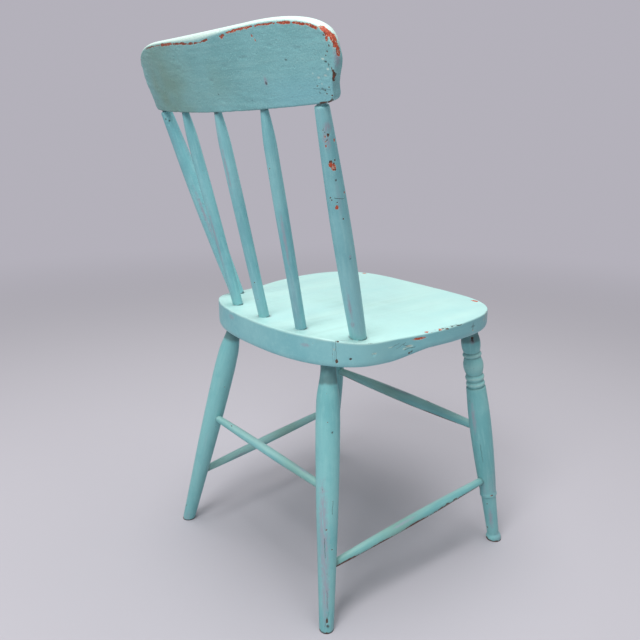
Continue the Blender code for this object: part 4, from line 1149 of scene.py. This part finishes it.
def makeCrest():
    c = crestShape
    ring = crestRing()
    count = len(ring)
    before, after = np.roll(ring, 1, axis=0), np.roll(ring, -1, axis=0)
    run = after - before
    normal = np.stack([run[:, 1], -run[:, 0]], axis=1)
    normal /= np.linalg.norm(normal, axis=1, keepdims=True)
    share = smoothStep(0, 1, (ring[:, 1] - c["corner"]) / (c["height"] - c["widestDrop"]))
    reach = c["edgeRound"] + (c["topRound"] - c["edgeRound"]) * share
    flat = c["edgeRound"] + (c["topRound"] * c["roundFlat"] - c["edgeRound"]) * share
    grip = c["grip"] * share * bell(ring[:, 0] - c["gripOffset"], c["gripSpread"])
    rings, roundness = [], []
    for side in (1, -1):
        for step in range(c["roundSteps"] + 1):
            angle = math.pi / 2 * (step if side > 0 else c["roundSteps"] - step) / c["roundSteps"]
            height = flat + (grip if side > 0 else 0)
            inset = (height * (1 - math.sin(angle)))[:, None]
            out = side * (c["thick"] / 2 - reach * (1 - math.cos(angle)))
            rings.append(np.concatenate([ring - normal * inset, out[:, None]], axis=1))
            roundness.append(np.full(count, math.degrees(angle) * side))
    points = np.concatenate(rings)
    turnAt = np.concatenate(roundness)
    faces = rowFaces(len(rings), count).tolist()
    for number in (0, len(rings) - 1):
        patch = fillPatch(rings[number], c["columns"], c["rows"])
        inner = patch[1:-1, 1:-1].reshape(-1, 3)
        index = patchIndex(np.arange(count) + number * count, len(points), c["columns"], c["rows"])
        faces += gridFaces(index).tolist()
        points = np.concatenate([points, inner])
        turnAt = np.concatenate([turnAt, np.zeros(len(inner))])
    own = points
    mesh = closedMesh("CrestRail", crestPoint(own[:, 0], own[:, 1], own[:, 2]) + np.array(origin), faces)

    flat = np.zeros(own.shape)
    flat[:, 2] = np.sign(own[:, 2])
    wear = Wear(own, flat, 7)
    wear.marks(crestMarks)
    along, up, out = own[:, 0], own[:, 1], own[:, 2]
    # the back arris is the first ring; each point takes its nearest place on it
    arris = rings[0]
    away, nearest = np.full(len(own), 1.0), np.zeros(len(own), dtype=int)
    for number in range(count):
        gap = ((own - arris[number]) ** 2).sum(axis=1)
        closer = gap < away
        away[closer], nearest[closer] = gap[closer], number
    onRound = np.arange(len(own)) < len(rings) * count
    wear.bandAway = np.where(onRound, 1, -1) * np.sqrt(away) / mm
    at = arris[nearest] / mm
    onArris = np.stack([at[:, 0], at[:, 1], 0 * at[:, 0]], axis=1) * mm
    run = noiseAt(onArris, 6 * mm, 91) + noiseAt(onArris, 14 * mm, 92) * 0.6
    shift = np.zeros(len(own))
    for where, start, end, wide, uneven, tone, outward in crestBand:
        spot = at[:, 0] if where in ("top", "bottom") else at[:, 1]
        inside = smoothStep(start - 2, start + 2, spot) * smoothStep(end + 2, end - 2, spot)
        if where in ("top", "bottom"):
            inside *= (at[:, 1] > 50) == (where == "top")
        else:
            inside *= at[:, 0] < 0 if where == "right" else at[:, 0] > 0
        shift = np.where(wear.wearBand(run * uneven, inside, wide, tone), outward, shift)
    wear.bandAway -= shift
    # the bottom edge and the front arris are worn too, more thinly
    frontArris = bell(np.abs(turnAt + 30), 18) * (turnAt < 0) * (up > 45 * mm)
    frontArris *= 0.8 + 0.6 * noiseAt(own, (22 * mm, 9 * mm, 9 * mm), 93)
    wear.lose((frontArris - 1.0) * 4 + wear.ragged, 0.1)
    lowEdge = smoothStep(1.2 * mm, 0.0, up) * (1 - bell(out, 5 * mm))
    lowEdge *= 0.9 + 0.5 * noiseAt(own, (18 * mm, 9 * mm, 4 * mm), 94)
    wear.lose((lowEdge - 1.1) * 4 + wear.ragged, 0.5)
    wear.spread("grime", smoothStep(3.2 * mm, -0.5 * mm, up) * 0.35)
    # scraper and brush ridges lying a little aslant along the board
    slant = np.stack([along + up * 0.6, up - along * 0.10, out], axis=1)
    face = smoothStep(5 * mm, 7.6 * mm, np.abs(out))
    ridges = 0.0
    for spot, long, high, seed, height in ((slant, 30, 3.6, 95, 0.30), (slant, 9, 2.6, 96, 0.20),
                                           (own, 60, 24, 97, 0.35), (own, 6, 4.6, 101, 0.28),
                                           (own, 3.4, 5.2, 102, 0.20)):
        ridges = ridges + noiseAt(spot, (long * mm, high * mm, 40 * mm), seed) * height
    calm = 0.45 + 0.55 * smoothStep(-0.2, 0.5, noiseAt(own, 60 * mm, 98))
    wear.sink += face * ridges * calm * mm
    # hand dirt turns the middle and the far end olive, the near lower corner stays bluer
    olive = 0.88 * bell(along - 130 * mm, 95 * mm)
    olive += 0.32 * bell(along + 40 * mm, 50 * mm) * bell(up - 40 * mm, 30 * mm)
    blue = 0.6 * smoothStep(-40 * mm, -180 * mm, along) * smoothStep(60 * mm, 10 * mm, up)
    tint = (olive * (0.82 + 0.3 * noiseAt(own, (30 * mm, 20 * mm, 30 * mm), 99)) - blue) * face
    # painted highlight: the rounded top edge is paler, as where the lamp falls on it
    paintedLight = smoothStep(5, 40, np.abs(turnAt)) * smoothStep(45 * mm, 70 * mm, up) * 0.95
    dress("CrestRail", "crest_rail", crestPaint, mesh, own, wear, tint, paintedLight)
    print("crest rail shaped:", len(mesh.polygons), "faces")


makeCrest()


# Floor, light and camera

studio = {
    "floorSize": 30, "floorColor": (0.50, 0.485, 0.53), "floorRoughness": 0.9,
    "backdrop": (0.455, 0.440, 0.495), "worldLight": 0.34,
    "fadeFrom": 1.0, "fadeTo": 3.2, "aim": (0, 0, 0.45),
    # name: (power, place, size)
    "lamps": {"overhead": (54.0, (-0.10, 0.10, 2.9), 1.7), "key": (54.0, (-0.9, 2.1, 2.85), 1.3)},
}


def makeStudio():
    bpy.ops.mesh.primitive_plane_add(size=studio["floorSize"])
    floor = bpy.context.active_object
    floor.name = "Floor"
    ground = bpy.data.materials.new("studioFloor")
    ground.use_nodes = True
    tree = ground.node_tree
    surface = tree.nodes["Principled BSDF"]
    plug(tree, surface, {"Base Color": studio["floorColor"] + (1.0,), "Roughness": studio["floorRoughness"]})
    # far from the chair the floor runs into the backdrop without a line
    place = addNode(tree, "ShaderNodeTexCoord").outputs["Object"]
    reach = addNode(tree, "ShaderNodeVectorMath", {0: place}, operation="LENGTH").outputs["Value"]
    far = rampNode(tree, reach, studio["fadeFrom"], studio["fadeTo"])
    rays = addNode(tree, "ShaderNodeLightPath").outputs
    share = mathNode(tree, "MULTIPLY", far, rays["Is Camera Ray"])
    glow = addNode(tree, "ShaderNodeEmission", {"Color": studio["backdrop"] + (1.0,)})
    mixed = addNode(tree, "ShaderNodeMixShader", {0: share, 1: surface.outputs[0], 2: glow.outputs[0]})
    plug(tree, tree.nodes["Material Output"], {"Surface": mixed.outputs[0]})
    floor.data.materials.append(ground)

    world = bpy.data.worlds.new("studioWorld")
    bpy.context.scene.world = world
    world.use_nodes = True
    tree = world.node_tree
    light = tree.nodes["Background"]
    plug(tree, light, {"Color": (1.0, 1.0, 1.0, 1.0), "Strength": studio["worldLight"]})
    seen = addNode(tree, "ShaderNodeBackground", {"Color": studio["backdrop"] + (1.0,)})
    rays = addNode(tree, "ShaderNodeLightPath").outputs
    share = mathNode(tree, "ADD", rays["Is Camera Ray"], rays["Is Glossy Ray"], True)
    mixed = addNode(tree, "ShaderNodeMixShader", {0: share, 1: light.outputs[0], 2: seen.outputs[0]})
    plug(tree, tree.nodes["World Output"], {"Surface": mixed.outputs[0]})

    for label, (power, where, size) in studio["lamps"].items():
        lamp = bpy.data.lights.new(label, "AREA")
        lamp.energy = power
        lamp.size = size
        holder = bpy.data.objects.new(label, lamp)
        bpy.context.scene.collection.objects.link(holder)
        holder.location = where
        holder.rotation_euler = (Vector(studio["aim"]) - holder.location).to_track_quat("-Z", "Y").to_euler()


makeStudio()

view = {
    "place": (-0.8161, 0.6757, 0.7136), "ahead": (0.74844, -0.60145, -0.27945),
    "up": (0.22206, -0.16978, 0.96014), "lens": 36.88, "sensor": 36.0, "reach": 50,
}
camera = bpy.data.cameras.new("camera")
camera.lens = view["lens"]
camera.sensor_width = view["sensor"]
camera.clip_end = view["reach"]
cameraObject = bpy.data.objects.new("camera", camera)
bpy.context.scene.collection.objects.link(cameraObject)
ahead, up = Vector(view["ahead"]).normalized(), Vector(view["up"]).normalized()
right = ahead.cross(up).normalized()
up = right.cross(ahead)
turn = Matrix((right, up, -ahead)).transposed().to_4x4()
cameraObject.matrix_world = Matrix.Translation(view["place"]) @ turn
bpy.context.scene.camera = cameraObject
bpy.context.scene.view_settings.view_transform = "Standard"
print("studio set")
